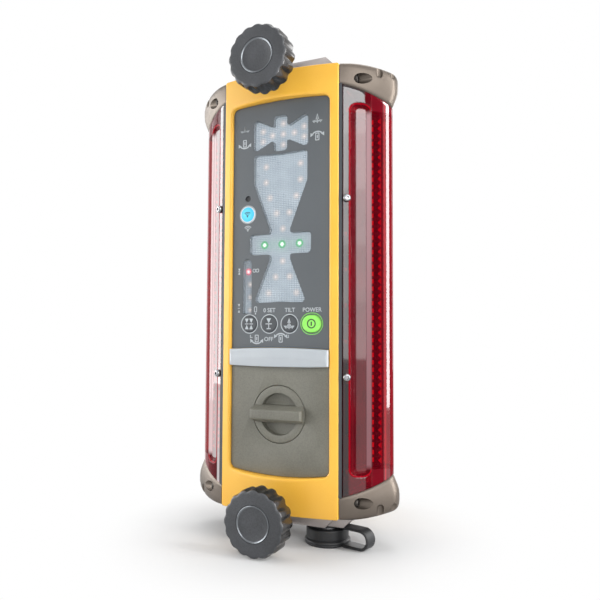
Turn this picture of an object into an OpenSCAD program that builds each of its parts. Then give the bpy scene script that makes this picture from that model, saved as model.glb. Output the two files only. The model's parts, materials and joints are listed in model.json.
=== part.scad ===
// Laser receiver for a machine mast, in millimetres, +Z up, with its display facing -Y.
// Every module is drawn about the middle of the front housing, whose bowed face touches y = 0.
// stand() then moves it so that the origin lies on the floor under the middle of the receiver.

/* [Housing] */
// Height of the front housing
body_h = 322; // [314:1:340]
// Width of the front housing
front_w = 94; // [92:1:98]
// Height of the bow across the front and rear housings
front_bow = 5.2; // [4:0.1:6]
// Width over the two windows
body_w = 156; // [153:1:162]
// Depth from the front housing to the rear housing
body_d = 64; // [62:1:70]
// Wall of the housings
shell_t = 3; // [2.5:0.1:3.5]
// Depth of the housings' side walls behind the bow
return_d = 5.2; // [4:0.1:6]
// Wall of the chassis
chassis_t = 3; // [2:0.1:4]
// Gap between fixed pieces that lie against each other
seam = 0.2; // [0.1:0.05:0.3]
// Gap around moving pieces
play = 0.3; // [0.2:0.05:0.4]

/* [Panel] */
// Width of the recess in the front housing
panel_w = 80; // [78:1:84]
// Yellow margin above the recess
panel_top_gap = 20.2; // [19:0.5:24]
// Yellow margin below the recess
panel_bottom_gap = 25.4; // [25:0.2:27]
// Arch of the upper edge of the recess
top_arch = 2.2; // [1:0.1:4]
// Arch of the lower edge of the recess
bottom_arch = 3.6; // [2:0.1:4]
// Corner radius of the recess
corner_r = 5; // [3:0.5:8]
// Depth of the panel below the middle of the bow
panel_y = 6.4; // [6:0.1:8]
// Thickness of the faceplate and of the battery door
face_t = 2; // [1.5:0.1:2.5]
// Width of the ledge that carries the faceplate
ledge_w = 3; // [2:0.1:3]
// Thickness of the ledge
ledge_t = 2; // [1.5:0.1:3]
// Height of the battery door
door_h = 78.6; // [78:0.2:82]
// Height of the trim bar
bar_h = 14; // [10:0.5:16]
// How far the trim bar stands out of the panel
bar_proud = 4.4; // [2:0.1:5]

/* [Display] */
// Width of the arrow window
arrow_w = 44; // [40:1:48]
// Height of the arrow window
arrow_h = 111.6; // [106:0.4:114]
// Width of the bar between the arrows
grade_w = 50; // [46:1:52]
// Height of the bar between the arrows
grade_h = 15.2; // [12:0.4:16]
// Width of the tilt window
tilt_w = 44.8; // [40:0.5:48]
// Height of the tilt window
tilt_h = 26.4; // [24:0.2:28]
// Width of the level strip
strip_w = 7; // [5:0.5:8]
// Height of the level strip
strip_h = 40.6; // [34:0.2:41]
// How far the windows stand out of the faceplate
window_proud = 0.4; // [0.2:0.1:0.8]
// Diameter of an indicator
led_d = 3; // [2:0.5:4]
// Thickness of the circuit boards
board_t = 1.6; // [1.2:0.1:2]
// Height of the indicators on the display board
led_h = 2.2; // [1.6:0.1:3]

/* [Buttons] */
// Diameter of a round button
button_d = 12.4; // [11:0.2:13]
// Width of the power button
power_w = 15; // [14:0.5:18]
// Distance between buttons
button_pitch = 16.6; // [16:0.1:17.5]
// Height of the buttons above the trim bar
button_up = 17.4; // [17:0.2:20]
// How far a button stands out of the faceplate
button_proud = 0.8; // [0.5:0.1:1.2]
// Travel of a button
button_travel = 1; // [0.6:0.1:1.2]

/* [Side windows] */
// Radius of the window face
window_face_r = 80; // [72:1:100]
// Radius of the window nose
nose_r = 8; // [7:0.5:10]
// Wall of a window
window_t = 3; // [2.5:0.1:3.5]
// Width of the gasket strip beside a window
gasket_w = 1.8; // [1:0.1:2.2]
// Width of the long recess in a window
slot_w = 15; // [12:0.5:15.5]
// Depth of the long recess
slot_d = 2.4; // [2:0.2:5]
// Distance from the window end to the long recess
slot_end = 14; // [12:0.5:20]
// Pitch of the light cells
cell_pitch = 5.3; // [4:0.1:8]
// Width of a row of light cells
cell_w = 8; // [6:0.5:9]

/* [Bumpers] */
// Height of a bumper at the front housing
bumper_h = 15; // [14:0.5:17]
// Rise of a bumper's rim for each millimetre of depth
bumper_slope = 0.56; // [0.4:0.02:0.6]
// How far a bumper stands out past the window
bumper_flare = 4.2; // [2:0.2:5]
// Radius of a screw pocket
pocket_r = 3.8; // [3.2:0.1:4]

/* [Mast clamp] */
// Diameter of the largest mast
mast_d = 50; // [46:1:54]
// Gap between the rear housing and the mast
mast_gap = 4; // [3:0.5:8]
// Width of a clamp frame
frame_w = 82; // [80:1:86]
// Chamfer along a clamp frame
frame_chamfer = 5.5; // [3:0.5:7]
// Thickness of a clamp frame's front plate
plate_t = 5; // [4:0.5:5]
// How far a clamp frame rises above the housing
frame_rise = 7; // [5:0.5:9]
// Width of the bar that joins the front plate to the hook
spine_w = 12; // [10:0.5:14]
// Thickness of the hook behind the mast
hook_t = 12; // [9:0.5:16]
// How far the hook's tip holds the mast
hook_hold = 3.4; // [2:0.1:3.6]
// Width of a jaw
jaw_w = 28; // [25:0.5:29]
// Depth of a jaw in front of its notch
jaw_t = 11; // [8:0.5:12]
// Thickness of a jaw's rubber face
liner_t = 2.5; // [1.5:0.1:3]
// Travel of a jaw away from the mast
jaw_out = 10; // [6:0.5:10]

/* [Knobs] */
// Diameter over a knob's lobes
knob_d = 46.4; // [44:0.2:47]
// Thickness of a knob
knob_t = 15; // [12:0.5:17]
// Number of lobes
lobes = 16; // [8:4:20]
// Depth of the flutes between the lobes
flute_d = 1.4; // [1:0.1:2]
// Distance from the bow to a knob's front face
knob_reach = 32; // [31:0.5:36]
// Diameter of a spindle
spindle_d = 10; // [8:0.5:11]
// Depth of a spindle's axis below the housing's upper edge
spindle_drop = 1; // [0.5:0.1:1.5]
// Diameter of the round insert in a knob
insert_d = 25; // [20:0.5:28]

/* [Battery] */
// Diameter of a cell
cell_d = 33.6; // [32:0.1:33.8]
// Length of a cell
cell_l = 61.5; // [58:0.5:62]
// Wall of the battery tray
tray_t = 1.8; // [1.4:0.1:2]
// Diameter of the latch
latch_d = 41.6; // [36:0.2:42]
// Diameter of the latch's finger wells
well_d = 30.6; // [26:0.2:31]
// How far the grip stands out of the door
grip_out = 7.4; // [5:0.2:9]
// Reach of the latch tongue
tongue_reach = 36; // [35:0.1:36.2]
// Thickness of the latch tongue
tongue_t = 2; // [1.2:0.1:2]

/* [Connector] */
// Sideways place of the connector
socket_x = 30; // [29:0.5:30.5]
// Place of the connector behind the bow
socket_y = 27; // [26:0.5:32]
// Diameter of the connector shell
socket_d = 20; // [17:0.5:21]
// Diameter of the dust cap
cap_d = 30.8; // [28:0.2:32]
// Width of the dust cap's strap
strap_w = 10; // [8:0.5:11]
// Thickness of the strap
strap_t = 2; // [1.5:0.1:2]

/* [Hidden] */
$fn = 64;
fine = 160;
tiny = 0.01;
past = 1;

half_h = body_h / 2;
half_w = front_w / 2;
mid_y = body_d / 2;
bow_r = (half_w * half_w + front_bow * front_bow) / (2 * front_bow);
return_y = front_bow + return_d;
deck_drop = 15;
deck_z = half_h - deck_drop;
chassis_x = half_w - 1;
chassis_y = return_y + seam;

panel_top = half_h - panel_top_gap;
panel_bottom = -half_h + panel_bottom_gap;
bar_bottom = panel_bottom + door_h;
bar_top = bar_bottom + bar_h;
bar_top_arch = 1.2;
bar_bottom_arch = 0.8;
small_r = 0.8;
ledge_y = panel_y + face_t + seam;
ledge_back = ledge_y + ledge_t;
bay_x = panel_w / 2 - ledge_w;
bay_top = bar_bottom - ledge_w;
bay_bottom = panel_bottom + bottom_arch + 1.4;
board_y = ledge_back + 1.9;

tilt_z = panel_top - 24.8;
arrow_top = panel_top - 39.5;
grade_z = arrow_top - 67.9;
strip_x = -27;
strip_top = arrow_top - 78.5;
lamp_x = -27;
lamp_z = arrow_top - 44.5;
lamp_r = 6.3;
eye_z = lamp_z + 12;
eye_r = 2.1;
button_z = bar_top + button_up;
button_x = [for (i = [0:2]) (i - 1.5) * button_pitch];
power_x = 1.56 * button_pitch;
button_back = ledge_y + 1.2;

window_x = half_w + gasket_w + seam;
window_y = front_bow + 0.4;
window_end = half_h - bumper_h;
nose_end = window_end - bumper_slope * (mid_y - window_y);
shelf_t = 4;
shelf_z = nose_end - shelf_t - play;

spindle_z = half_h - spindle_drop;
spindle_r = spindle_d / 2;
knob_r = knob_d / 2;
knob_y = -knob_reach;
hub_r = spindle_r + 4;
mast_r = mast_d / 2;
mast_y = body_d + mast_gap + mast_r;
frame_y = return_d + 2.9;
frame_z = deck_z + seam;
frame_top = half_h + frame_rise;
stand_z = spindle_z + knob_r;
hook_back = mast_y + mast_r + hook_t;
boss_w = 26;
notch_half = 60;
jaw_face = mast_y - (mast_r + 0.1) / sin(notch_half);
jaw_notch = jaw_face - liner_t / sin(notch_half);
jaw_front = jaw_notch - jaw_t;
boss_back = jaw_front - jaw_out - 6;
hook_lap = 8;
hook_tip = mast_r * 0.6;
tip_r = spindle_r - 1;
tip_l = 8;
spindle_in = 4;
running_fit = 0.08;
tight_fit = 0.02;

latch_z = panel_bottom + 44.5;
latch_r = latch_d / 2;
latch_back = ledge_back + 2.2;
tongue_y = latch_back + seam;
tray_front = ledge_back;
cell_r = cell_d / 2;
cell_y = tongue_y + tongue_t + 0.5 + cell_r;
tray_back = cell_y + cell_r + 0.2 + tray_t;
cell_x = cell_r + 0.3;
tray_x = cell_x + cell_r + 0.4 + tray_t;
tray_top = bay_top - 0.8;
tray_bottom = bay_bottom + 0.7;
cell_z = (tray_top + tray_bottom) / 2;
back_plate_y = body_d - chassis_y - 2;

mount_z = -frame_top;
socket_r = socket_d / 2;
socket_end = stand_z - 2.2;
cap_r = cap_d / 2;
cap_top = frame_top + 3.6;
cap_rim_r = cap_r + 1.2;
cap_rim_t = 3.4;
strap_turn = -14;
strap_up = -frame_top - 0.4 - strap_t / 2;
strap_low = -stand_z + 0.4 + strap_t / 2;
strap_r = (strap_up - strap_low) / 2;
strap_s = cap_rim_r + 14;

centre_y = (knob_y + hook_back) / 2;

// Helpers

// Points along an arc about c from angle a0 to angle a1
function arc(c, r, a0, a1, n) =
    [for (i = [0:n]) let (a = a0 + (a1 - a0) * i / n) c + r * [cos(a), sin(a)]];

// Centre of the arc of radius r that runs through p and touches the circle of radius s about q
function touching_centre(p, q, r, s) =
    let (d = norm(q - p), u = (q - p) / d, a = (d * d + r * r - pow(r - s, 2)) / (2 * d))
    p + a * u + sqrt(r * r - a * a) * [-u[1], u[0]];

// Plan of one side of the body from x0 round its nose, grown by g, with the nose moved out by flare
function side_plan(x0, flare, g) =
    let (p = [half_w + seam, window_y],
         q = [body_w / 2 - nose_r + flare, mid_y],
         c = touching_centre(p, q, window_face_r, nose_r),
         r = window_face_r + g,
         a1 = atan2(q[1] - c[1], q[0] - c[0]),
         front = concat(arc(c, r, -acos((x0 - c[0]) / r), a1, 10), arc(q, nose_r + g, a1, 0, 6)))
    concat(front, [for (i = [len(front) - 2:-1:0]) [front[i][0], body_d - front[i][1]]]);

// Outline with arched upper and lower edges and round corners, as [x, z] points
function arched(w, z0, z1, arch0, arch1, r0, r1) =
    let (h = w / 2, x0 = h - r0, x1 = h - r1, n = 8,
         low = z0 + arch0 * pow(x0 / h, 2), high = z1 - arch1 * pow(x1 / h, 2))
    concat([for (i = [0:n]) let (t = -x0 + 2 * x0 * i / n) [t, z0 + arch0 * pow(t / h, 2)]],
           arc([x0, low + r0], r0, -90, 0, 6), arc([x1, high - r1], r1, 0, 90, 6),
           [for (i = [0:n]) let (t = x1 - 2 * x1 * i / n) [t, z1 - arch1 * pow(t / h, 2)]],
           arc([-x1, high - r1], r1, 90, 180, 6), arc([-x0, low + r0], r0, 180, 270, 6));

module stand() translate([0, -centre_y, stand_z]) children();
module rod(r, y0, y1) translate([0, y0, 0]) rotate([-90, 0, 0]) cylinder(r = r, h = y1 - y0);
module block(x0, x1, y0, y1, z0, z1) translate([x0, y0, z0]) cube([x1 - x0, y1 - y0, z1 - z0]);
module along_y(y0, y1) translate([0, y1, 0]) rotate([90, 0, 0]) linear_extrude(y1 - y0) children();
module along_x(x0, x1) translate([x0, 0, 0]) rotate([90, 0, 90]) linear_extrude(x1 - x0) children();
module tall(z) translate([0, 0, -z]) linear_extrude(2 * z) children();
module front_and_back() {
    children();
    translate([0, body_d, 0]) mirror([0, 1, 0]) children();
}
module left_and_right() {
    children();
    mirror([1, 0, 0]) children();
}
module up_and_down() {
    children();
    mirror([0, 0, 1]) children();
}

// Housing

// Solid bounded by the bow in front and by the plane y = back behind
module bowed(w, back, h, inset) {
    intersection() {
        translate([0, bow_r, 0]) tall(h) circle(r = bow_r - inset, $fn = fine);
        block(-w / 2, w / 2, 0, back, -h, h);
    }
}

module recess() polygon(arched(panel_w, panel_bottom, panel_top, bottom_arch, top_arch, corner_r, corner_r));

post_x = panel_w / 2 - 2.4;
post_z = [bar_top + 8, panel_top - 12];
post_r = 2.2;
pilot_r = 1;

module front_housing() stand() color("gold") {
    bezel = 2;
    difference() {
        union() {
            difference() {
                bowed(front_w, return_y, half_h, 0);
                difference() {
                    bowed(front_w - 2 * shell_t, return_y + past, half_h - shell_t, shell_t);
                    block(-panel_w / 2 - bezel, panel_w / 2 + bezel, 0, ledge_back,
                          panel_bottom - bezel, panel_top + bezel);
                }
            }
            for (x = [-post_x, post_x], z = post_z)
                translate([x, 0, z]) rod(post_r, ledge_y, board_y);
        }
        along_y(-past, ledge_y) recess();
        along_y(0, ledge_back + past)
            polygon(arched(2 * bay_x, bar_top + ledge_w, panel_top - ledge_w, 0, top_arch, 2, corner_r - 2));
        block(-bay_x, bay_x, 0, ledge_back + past, bay_bottom, bay_top);
        up_and_down() {
            translate([0, 0, spindle_z]) rod(hub_r + 1, -past, return_y + past);
            block(-frame_w / 2 - play, frame_w / 2 + play, frame_y - play, return_y + past, deck_z, body_h);
        }
        for (x = [-post_x, post_x], z = post_z) translate([x, 0, z]) rod(pilot_r, ledge_back, board_y + past);
    }
}

screw_x = chassis_x - 8;
screw_z = deck_z - 16;
screw_r = 1.7;
screw_head_r = 3.3;
screw_head_t = 1.8;
screw_post_r = 5;
rear_y = body_d - front_bow;
head_y = rear_y - screw_head_t - seam;

module screw_places()
    for (x = [-screw_x, screw_x], z = [-screw_z, 0, screw_z]) translate([x, 0, z]) children();

module rear_housing() stand() color("gold") {
    difference() {
        union() {
            translate([0, body_d, 0]) mirror([0, 1, 0]) difference() {
                bowed(front_w, return_y, deck_z, 0);
                bowed(front_w - 2 * shell_t, return_y + past, deck_z - shell_t, shell_t);
            }
            screw_places() rod(screw_post_r, body_d - chassis_y + seam, rear_y);
        }
        screw_places() {
            rod(screw_r + play, 0, body_d + past);
            rod(screw_head_r + play, head_y, body_d + past);
        }
    }
}

module housing_screws() stand() color("dimgray")
    screw_places() difference() {
        union() {
            rod(screw_r, back_plate_y + seam, head_y);
            rod(screw_head_r, head_y, head_y + screw_head_t);
        }
        rod(screw_head_r / 2, head_y + screw_head_t / 2, rear_y);
    }

bumper_screw_y = window_y + 7;
bumper_screw_z = half_h - 11.5;
bumper_screw_r = 1.5;
bumper_head_r = 2.9;
bumper_head_t = 2.2;
pocket_x = half_w + 10;

module chassis() stand() color("silver") {
    inner_x = chassis_x - chassis_t;
    ear_d = 14;
    ear_h = 8;
    shelf_y = chassis_y + 0.6;
    boss_out = 1.6;
    boss_y = chassis_y + 3;
    boss_d = 5.6;
    boss_half = 5;
    port = 11;
    port_h = 26;
    port_z = 80;
    slot_room = 4;
    difference() {
        union() {
            difference() {
                block(-chassis_x, chassis_x, chassis_y, body_d - chassis_y, -deck_z, deck_z);
                block(-inner_x, inner_x, 0, back_plate_y, -deck_z + chassis_t, deck_z - chassis_t);
                for (z = [-port_z, 0, port_z])
                    block(-body_w, body_w, mid_y - port, mid_y + port, z - port_h, z + port_h);
            }
            left_and_right() up_and_down() front_and_back()
                block(inner_x, chassis_x, chassis_y, chassis_y + ear_d, deck_z - past, deck_z + ear_h);
            left_and_right() up_and_down() difference() {
                union() {
                    translate([0, 0, shelf_z]) linear_extrude(shelf_t) intersection() {
                        polygon(side_plan(chassis_x - past, 0, -window_t - play));
                        translate([0, shelf_y]) square([body_w, body_d - 2 * shelf_y]);
                    }
                    front_and_back() block(chassis_x - past, window_x + boss_out, boss_y, boss_y + boss_d,
                                           window_screw_z - boss_half, window_screw_z + boss_half);
                }
                front_and_back() slot_block(slot_wall + play, slot_room);
            }
        }
        left_and_right() up_and_down() front_and_back() {
            translate([0, bumper_screw_y, bumper_screw_z]) rotate([0, 90, 0])
                cylinder(r = bumper_screw_r + seam, h = body_w);
            window_screw_place() rod(window_screw_r + seam / 2, -past, window_screw_l + past);
        }
        screw_places() rod(screw_r + seam, mid_y, body_d);
        up_and_down() frame_space();
        up_and_down() for (p = bolt_places)
            translate([p[0], p[1], 0]) cylinder(r = bolt_r + seam, h = body_h);
        translate([socket_x, socket_y, -body_h]) cylinder(r = 6, h = half_h);
        for (x = [-main_post_x, main_post_x], z = main_post_z)
            translate([x, 0, z]) rod(1.1, mid_y, body_d);
    }
}

// Windows and the sensors behind them

gasket_d = 4.6;
window_screw_x = half_w + 5;
window_screw_z = 63;
window_screw_r = 1.6;
window_screw_l = 10;
window_head_r = 2.8;
window_head_t = 2.8;
slot_wall = 2.2;

// Centre of the window face's arc, and the place on it at sideways distance x
face_centre = touching_centre([half_w + seam, window_y], [body_w / 2 - nose_r, mid_y], window_face_r, nose_r);
function face_angle(x) = 90 - acos((x - face_centre[0]) / window_face_r);
function face_y(x) = face_centre[1] - window_face_r * cos(face_angle(x));

module window_screw_place()
    translate([window_screw_x, face_y(window_screw_x), window_screw_z])
        rotate([0, 0, face_angle(window_screw_x)]) children();

slot_x = half_w + 13.8;
slot_corner = 5;

// Block with round corners that sinks into the window face to depth d, grown by g
module slot_block(g, d = slot_d) {
    h = window_end - slot_end + g;
    translate([slot_x, face_y(slot_x), 0]) rotate([0, 0, face_angle(slot_x)])
        along_y(-3 * past, d + g)
            polygon(arched(slot_w + 2 * g, -h, h, 0, 0, slot_corner, slot_corner));
}

// Space between the two bumpers on one side, short of their rims by g
module window_span(g) along_x(0, body_w) {
    top = window_end + bumper_slope * window_y - g;
    low = nose_end - g;
    polygon([[0, top], [0, -top], [mid_y, -low], [body_d, -top], [body_d, top], [mid_y, low]]);
}

module window() color("crimson") intersection() {
    window_span(seam);
    difference() {
        union() {
            tall(half_h) difference() {
                polygon(side_plan(window_x, 0, 0));
                polygon(side_plan(0, 0, -window_t));
            }
            intersection() {
                tall(half_h) polygon(side_plan(window_x, 0, 0));
                front_and_back() slot_block(slot_wall);
            }
        }
        front_and_back() slot_block(0);
        front_and_back() up_and_down() window_screw_place()
            rod(window_screw_r + seam, -past, window_screw_l + past);
    }
}

module right_window() stand() window();
module left_window() stand() mirror([1, 0, 0]) window();

module window_gaskets() stand() color("dimgray") left_and_right() intersection() {
    window_span(seam);
    tall(half_h) difference() {
        intersection() {
            polygon(side_plan(half_w + seam / 2, 0, -0.6));
            translate([half_w + seam / 2, 0]) square([gasket_w, body_d]);
        }
        translate([0, window_y + gasket_d]) square([body_w, body_d - 2 * (window_y + gasket_d)]);
    }
}

module window_screws() stand() color("lightgray")
    left_and_right() front_and_back() up_and_down() window_screw_place() difference() {
        union() {
            rod(window_screw_r, 0, window_screw_l);
            rod(window_head_r, -window_head_t, 0);
        }
        rod(window_head_r / 2, -window_head_t - past, -window_head_t / 2);
    }

comb_x = body_w / 2 - nose_r - 7;
comb_half = shelf_z - play;
sensor_y = mid_y - board_t / 2;

module sensor_boards() stand() color("darkgreen") left_and_right() {
    block(chassis_x + seam, comb_x + cell_w, sensor_y, sensor_y + board_t, -comb_half, comb_half);
    room = comb_x - chassis_x;
    chip_x = chassis_x + 0.35 * room;
    chip_w = 0.24 * room;
    chip_t = 1.4;
    chip_half = 2;
    for (z = [-comb_half + cell_pitch:4 * cell_pitch:comb_half - cell_pitch])
        block(chip_x, chip_x + chip_w, sensor_y - chip_t, sensor_y + board_t + chip_t,
              z - chip_half, z + chip_half);
}

module light_combs() stand() color("maroon") left_and_right() front_and_back() difference() {
    depth = 2.6;
    block(comb_x, comb_x + cell_w - 1, sensor_y - depth, sensor_y, -comb_half, comb_half);
    for (z = [-comb_half + cell_pitch / 2:cell_pitch:comb_half - cell_pitch / 2])
        block(comb_x + 2, comb_x + cell_w, sensor_y - depth - past, sensor_y - 0.8,
              z - cell_pitch * 0.3, z + cell_pitch * 0.3);
}

// Bumpers

// Thin level slice of the bumper's outer shape
module bumper_slice(z, flare)
    translate([0, 0, z]) linear_extrude(tiny) polygon(side_plan(half_w + seam, flare, 0));

scallop_r = 2.5;
scallop_y = 12.6;
corner_scallop_y = 5.2;
scallop_z = half_h - 10;

// Room for the upper clamp frame between the bumpers
module frame_space() block(-frame_w / 2 - play, frame_w / 2 + play, 0, body_d, frame_z - tiny, body_h);

// Crowned top of a bumper from its outer corner in to the cover
crown_drop = 5.5;
crown_rise = 1.7;
bumper_crown = [for (i = [0:10]) let (t = 1 - i / 10)
    [half_w + t * (body_w / 2 + bumper_flare - half_w),
     half_h - crown_drop * t + 4 * crown_rise * t * (1 - t)]];

module bumper() color("rosybrown") {
    rim_top = window_end + bumper_slope * window_y + seam;
    rim_low = nose_end + seam;
    difference() {
        intersection() {
            hull() {
                bumper_slice(rim_low - past, 0.6);
                bumper_slice(half_h - 10, bumper_flare);
                bumper_slice(half_h - 6, bumper_flare - 0.3);
                bumper_slice(half_h - 2.4, bumper_flare - 1.6);
                bumper_slice(half_h - tiny, 0);
            }
            along_x(0, body_w) polygon([[0, rim_top], [mid_y, rim_low], [body_d, rim_top],
                                        [body_d, body_h], [0, body_h]]);
            along_y(0, body_d) polygon(concat([[0, 0], [body_w, 0], [body_w, half_h - 12]], bumper_crown,
                                              [[0, half_h]]));
        }
        front_and_back() {
            translate([pocket_x, bumper_screw_y, bumper_screw_z]) rotate([0, 90, 0])
                cylinder(r = pocket_r, h = body_w);
            translate([0, bumper_screw_y, bumper_screw_z]) rotate([0, 90, 0])
                cylinder(r = bumper_screw_r + play, h = body_w);
            translate([body_w / 2 - 5.6, mid_y - scallop_y, scallop_z]) cylinder(r = scallop_r, h = 20);
            translate([body_w / 2 + bumper_flare - 1.2, mid_y - corner_scallop_y, scallop_z])
                cylinder(r = scallop_r, h = 20);
        }
        frame_space();
    }
}

module top_right_bumper() stand() bumper();
module top_left_bumper() stand() mirror([1, 0, 0]) bumper();
module bottom_right_bumper() stand() mirror([0, 0, 1]) bumper();
module bottom_left_bumper() stand() mirror([1, 0, 0]) mirror([0, 0, 1]) bumper();

module bumper_screws() stand() color("lightgray")
    left_and_right() up_and_down() front_and_back()
        translate([0, bumper_screw_y, bumper_screw_z]) rotate([0, 90, 0]) difference() {
            union() {
                translate([0, 0, chassis_x - chassis_t])
                    cylinder(r = bumper_screw_r, h = pocket_x - chassis_x + chassis_t);
                translate([0, 0, pocket_x]) cylinder(r = bumper_head_r, h = bumper_head_t);
            }
            translate([0, 0, pocket_x + bumper_head_t / 2])
                cylinder(r = bumper_head_r / 2, h = bumper_head_t, $fn = 6);
        }

// Display

// Outline with its outer corners rounded by r and its inner corners by less
module soft_corners(r) offset(r = -1.6) offset(delta = 1.6) offset(r = r) offset(delta = -r) children();

// Arrow window: a broad arrow down to a bar and a second arrow up to it
module arrow_shape() soft_corners(2.8) {
    w = arrow_w / 2;
    neck = 8.4;
    low_w = 21.4;
    shoulder = arrow_top - 21.7;
    high_neck = arrow_top - 56.7;
    low_neck = grade_z - 12;
    bottom = arrow_top - arrow_h;
    polygon([[-w, arrow_top], [0, arrow_top - 1], [w, arrow_top], [w, shoulder], [neck, high_neck],
             [neck, low_neck], [low_w, bottom], [0, bottom + 1], [-low_w, bottom], [-neck, low_neck],
             [-neck, high_neck], [-w, shoulder]]);
    translate([-grade_w / 2, grade_z - grade_h / 2]) square([grade_w, grade_h]);
}

// Tilt window: a bow tie with an upright bar across it
module tilt_shape() translate([0, tilt_z]) soft_corners(2.6) {
    w = tilt_w / 2;
    wing = 0.49 * tilt_h;
    polygon([[-w, wing], [-7, 5.4], [7, 5.4], [w, wing], [w, -wing], [7, -5.4], [-7, -5.4], [-w, -wing]]);
    translate([-5.4, -tilt_h / 2]) square([10.8, tilt_h]);
}

module strip_shape() {
    r = strip_w / 2;
    translate([strip_x, strip_top - r]) circle(r = r);
    translate([strip_x - r, strip_top - strip_h]) square([strip_w, strip_h - r]);
}

module window_shapes() {
    arrow_shape();
    tilt_shape();
    strip_shape();
}

module button_places() for (x = button_x) translate([x, 0, button_z]) children();

module faceplate() stand() color("dimgray") difference() {
    along_y(panel_y, panel_y + face_t)
        polygon(arched(panel_w - 2 * seam, bar_top + seam, panel_top - seam, -bar_top_arch, top_arch,
                       small_r, corner_r));
    along_y(panel_y - past, ledge_y) offset(delta = seam) window_shapes();
    button_places() rod(button_d / 2 + play, 0, ledge_back);
    translate([power_x, 0, button_z]) power_key(play, 0, ledge_back);
    translate([lamp_x, 0, lamp_z]) rod(lamp_r + seam, 0, ledge_back);
    translate([lamp_x, 0, eye_z]) rod(eye_r + seam, 0, ledge_back);
}

window_flange = 1.2;

module display_window() stand() color("lightsteelblue") {
    back = panel_y + face_t + seam / 2;
    along_y(back, back + 1.4) intersection() {
        offset(delta = window_flange) window_shapes();
        translate([-bay_x + 1, strip_top - strip_h - 0.2]) square([2 * bay_x - 2, body_h]);
    }
    along_y(panel_y - window_proud, back + tiny) window_shapes();
}

module display_board() stand() color("darkgreen") difference() {
    block(-post_x - 1.4, post_x + 1.4, board_y, board_y + board_t, post_z[0] - 4, post_z[1] + 4);
    for (x = [-post_x, post_x], z = post_z) translate([x, 0, z]) rod(pilot_r + play, 0, mid_y);
}

module board_screws() stand() color("lightgray")
    for (x = [-post_x, post_x], z = post_z) translate([x, 0, z]) {
        rod(pilot_r - seam / 2, ledge_back + seam, board_y + board_t);
        rod(2 * pilot_r, board_y + board_t, board_y + board_t + 1.4 * pilot_r);
    }

// Places of the indicators as [x, z], in rows up and down from the bar between the arrows
led_row = 11.9;
arrow_places = concat(
    [for (i = [0:3], s = [-1, 1]) [s * [14.5, 14.5, 11.2, 5.4][i], arrow_top - 7.9 - i * led_row]],
    [[0, arrow_top - 7.9 - 4 * led_row], [0, grade_z - 12.3]],
    [for (i = [1:2], s = [-1, 1]) [s * 5.7 * i, grade_z - 12.3 - i * led_row]],
    [for (d = [-8, 0, 8]) [0, tilt_z + d]],
    [for (s = [-1, 1], q = [[17, -3.8], [9.1, 0], [17, 3.8]]) [s * q[0], tilt_z + q[1]]],
    [for (i = [0:3]) [strip_x, strip_top - 8.9 - i * 9.7]]);
grade_places = [for (s = [-1:1]) [s * 13.5, grade_z]];

module leds(places) for (p = places)
    translate([p[0], 0, p[1]]) rod(led_d / 2, board_y - led_h, board_y);

module arrow_leds() stand() color("orangered") leds(arrow_places);
module grade_leds() stand() color("limegreen") leds(grade_places);

module key_switches() stand() color("black") {
    top = button_back + button_travel + seam;
    for (x = concat(button_x, [power_x])) translate([x, 0, button_z]) {
        block(-3, 3, top + 0.4, board_y, -3, 3);
        rod(1.6, top, board_y);
    }
}

module status_lamp() stand() color("deepskyblue") translate([lamp_x, 0, lamp_z]) {
    rod(lamp_r, panel_y - 0.4, panel_y + face_t);
    rod(2, panel_y, board_y - seam / 2);
}

module light_sensor() stand() color("black") translate([lamp_x, 0, eye_z])
    rod(eye_r, panel_y + 0.8, board_y - seam / 2);

module trim_bar() stand() color("silver") along_y(panel_y - bar_proud, panel_y + face_t)
    polygon(arched(panel_w - 2 * seam, bar_bottom + seam, bar_top - seam, bar_bottom_arch, bar_top_arch,
                   small_r, small_r));

// Buttons

module round_button() color("gray") {
    rod(button_d / 2, panel_y - button_proud, button_back);
    rod(button_d / 2 + 1, panel_y + face_t + seam, button_back);
}

// Power key: an oval made of two round ends and a straight middle, grown by g
module power_key(g, y0, y1) {
    r = button_d / 2 + g;
    s = (power_w - button_d) / 2;
    translate([-s, 0, 0]) rod(r, y0, y1);
    translate([s, 0, 0]) rod(r, y0, y1);
    block(-s, s, y0, y1, -r, r);
}

module button_at(x) stand() translate([x, 0, button_z]) children();
module sensitivity_button() button_at(button_x[0]) round_button();
module zero_button() button_at(button_x[1]) round_button();
module tilt_button() button_at(button_x[2]) round_button();
module power_button() button_at(power_x) color("lawngreen") {
    power_key(0, panel_y - button_proud, button_back);
    power_key(1, panel_y + face_t + seam, button_back);
}

// Electronics in the chassis

main_post_x = chassis_x - chassis_t - 6;
main_post_z = [-30, deck_z - 22];
main_y = back_plate_y - 3 - board_t;

module main_board() stand() color("darkgreen") difference() {
    union() {
        block(-main_post_x - 4, main_post_x + 4, main_y, main_y + board_t,
              main_post_z[0] - 5, main_post_z[1] + 5);
        for (x = [-main_post_x, main_post_x], z = main_post_z)
            translate([x, 0, z]) rod(2.6, main_y, back_plate_y - seam / 2);
    }
    for (x = [-main_post_x, main_post_x], z = main_post_z) translate([x, 0, z]) rod(1.2, 0, body_d);
}

module tilt_sensor() stand() color("darkslategray") block(-12, 12, main_y - 14, main_y - seam / 2, -12, 12);

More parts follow.
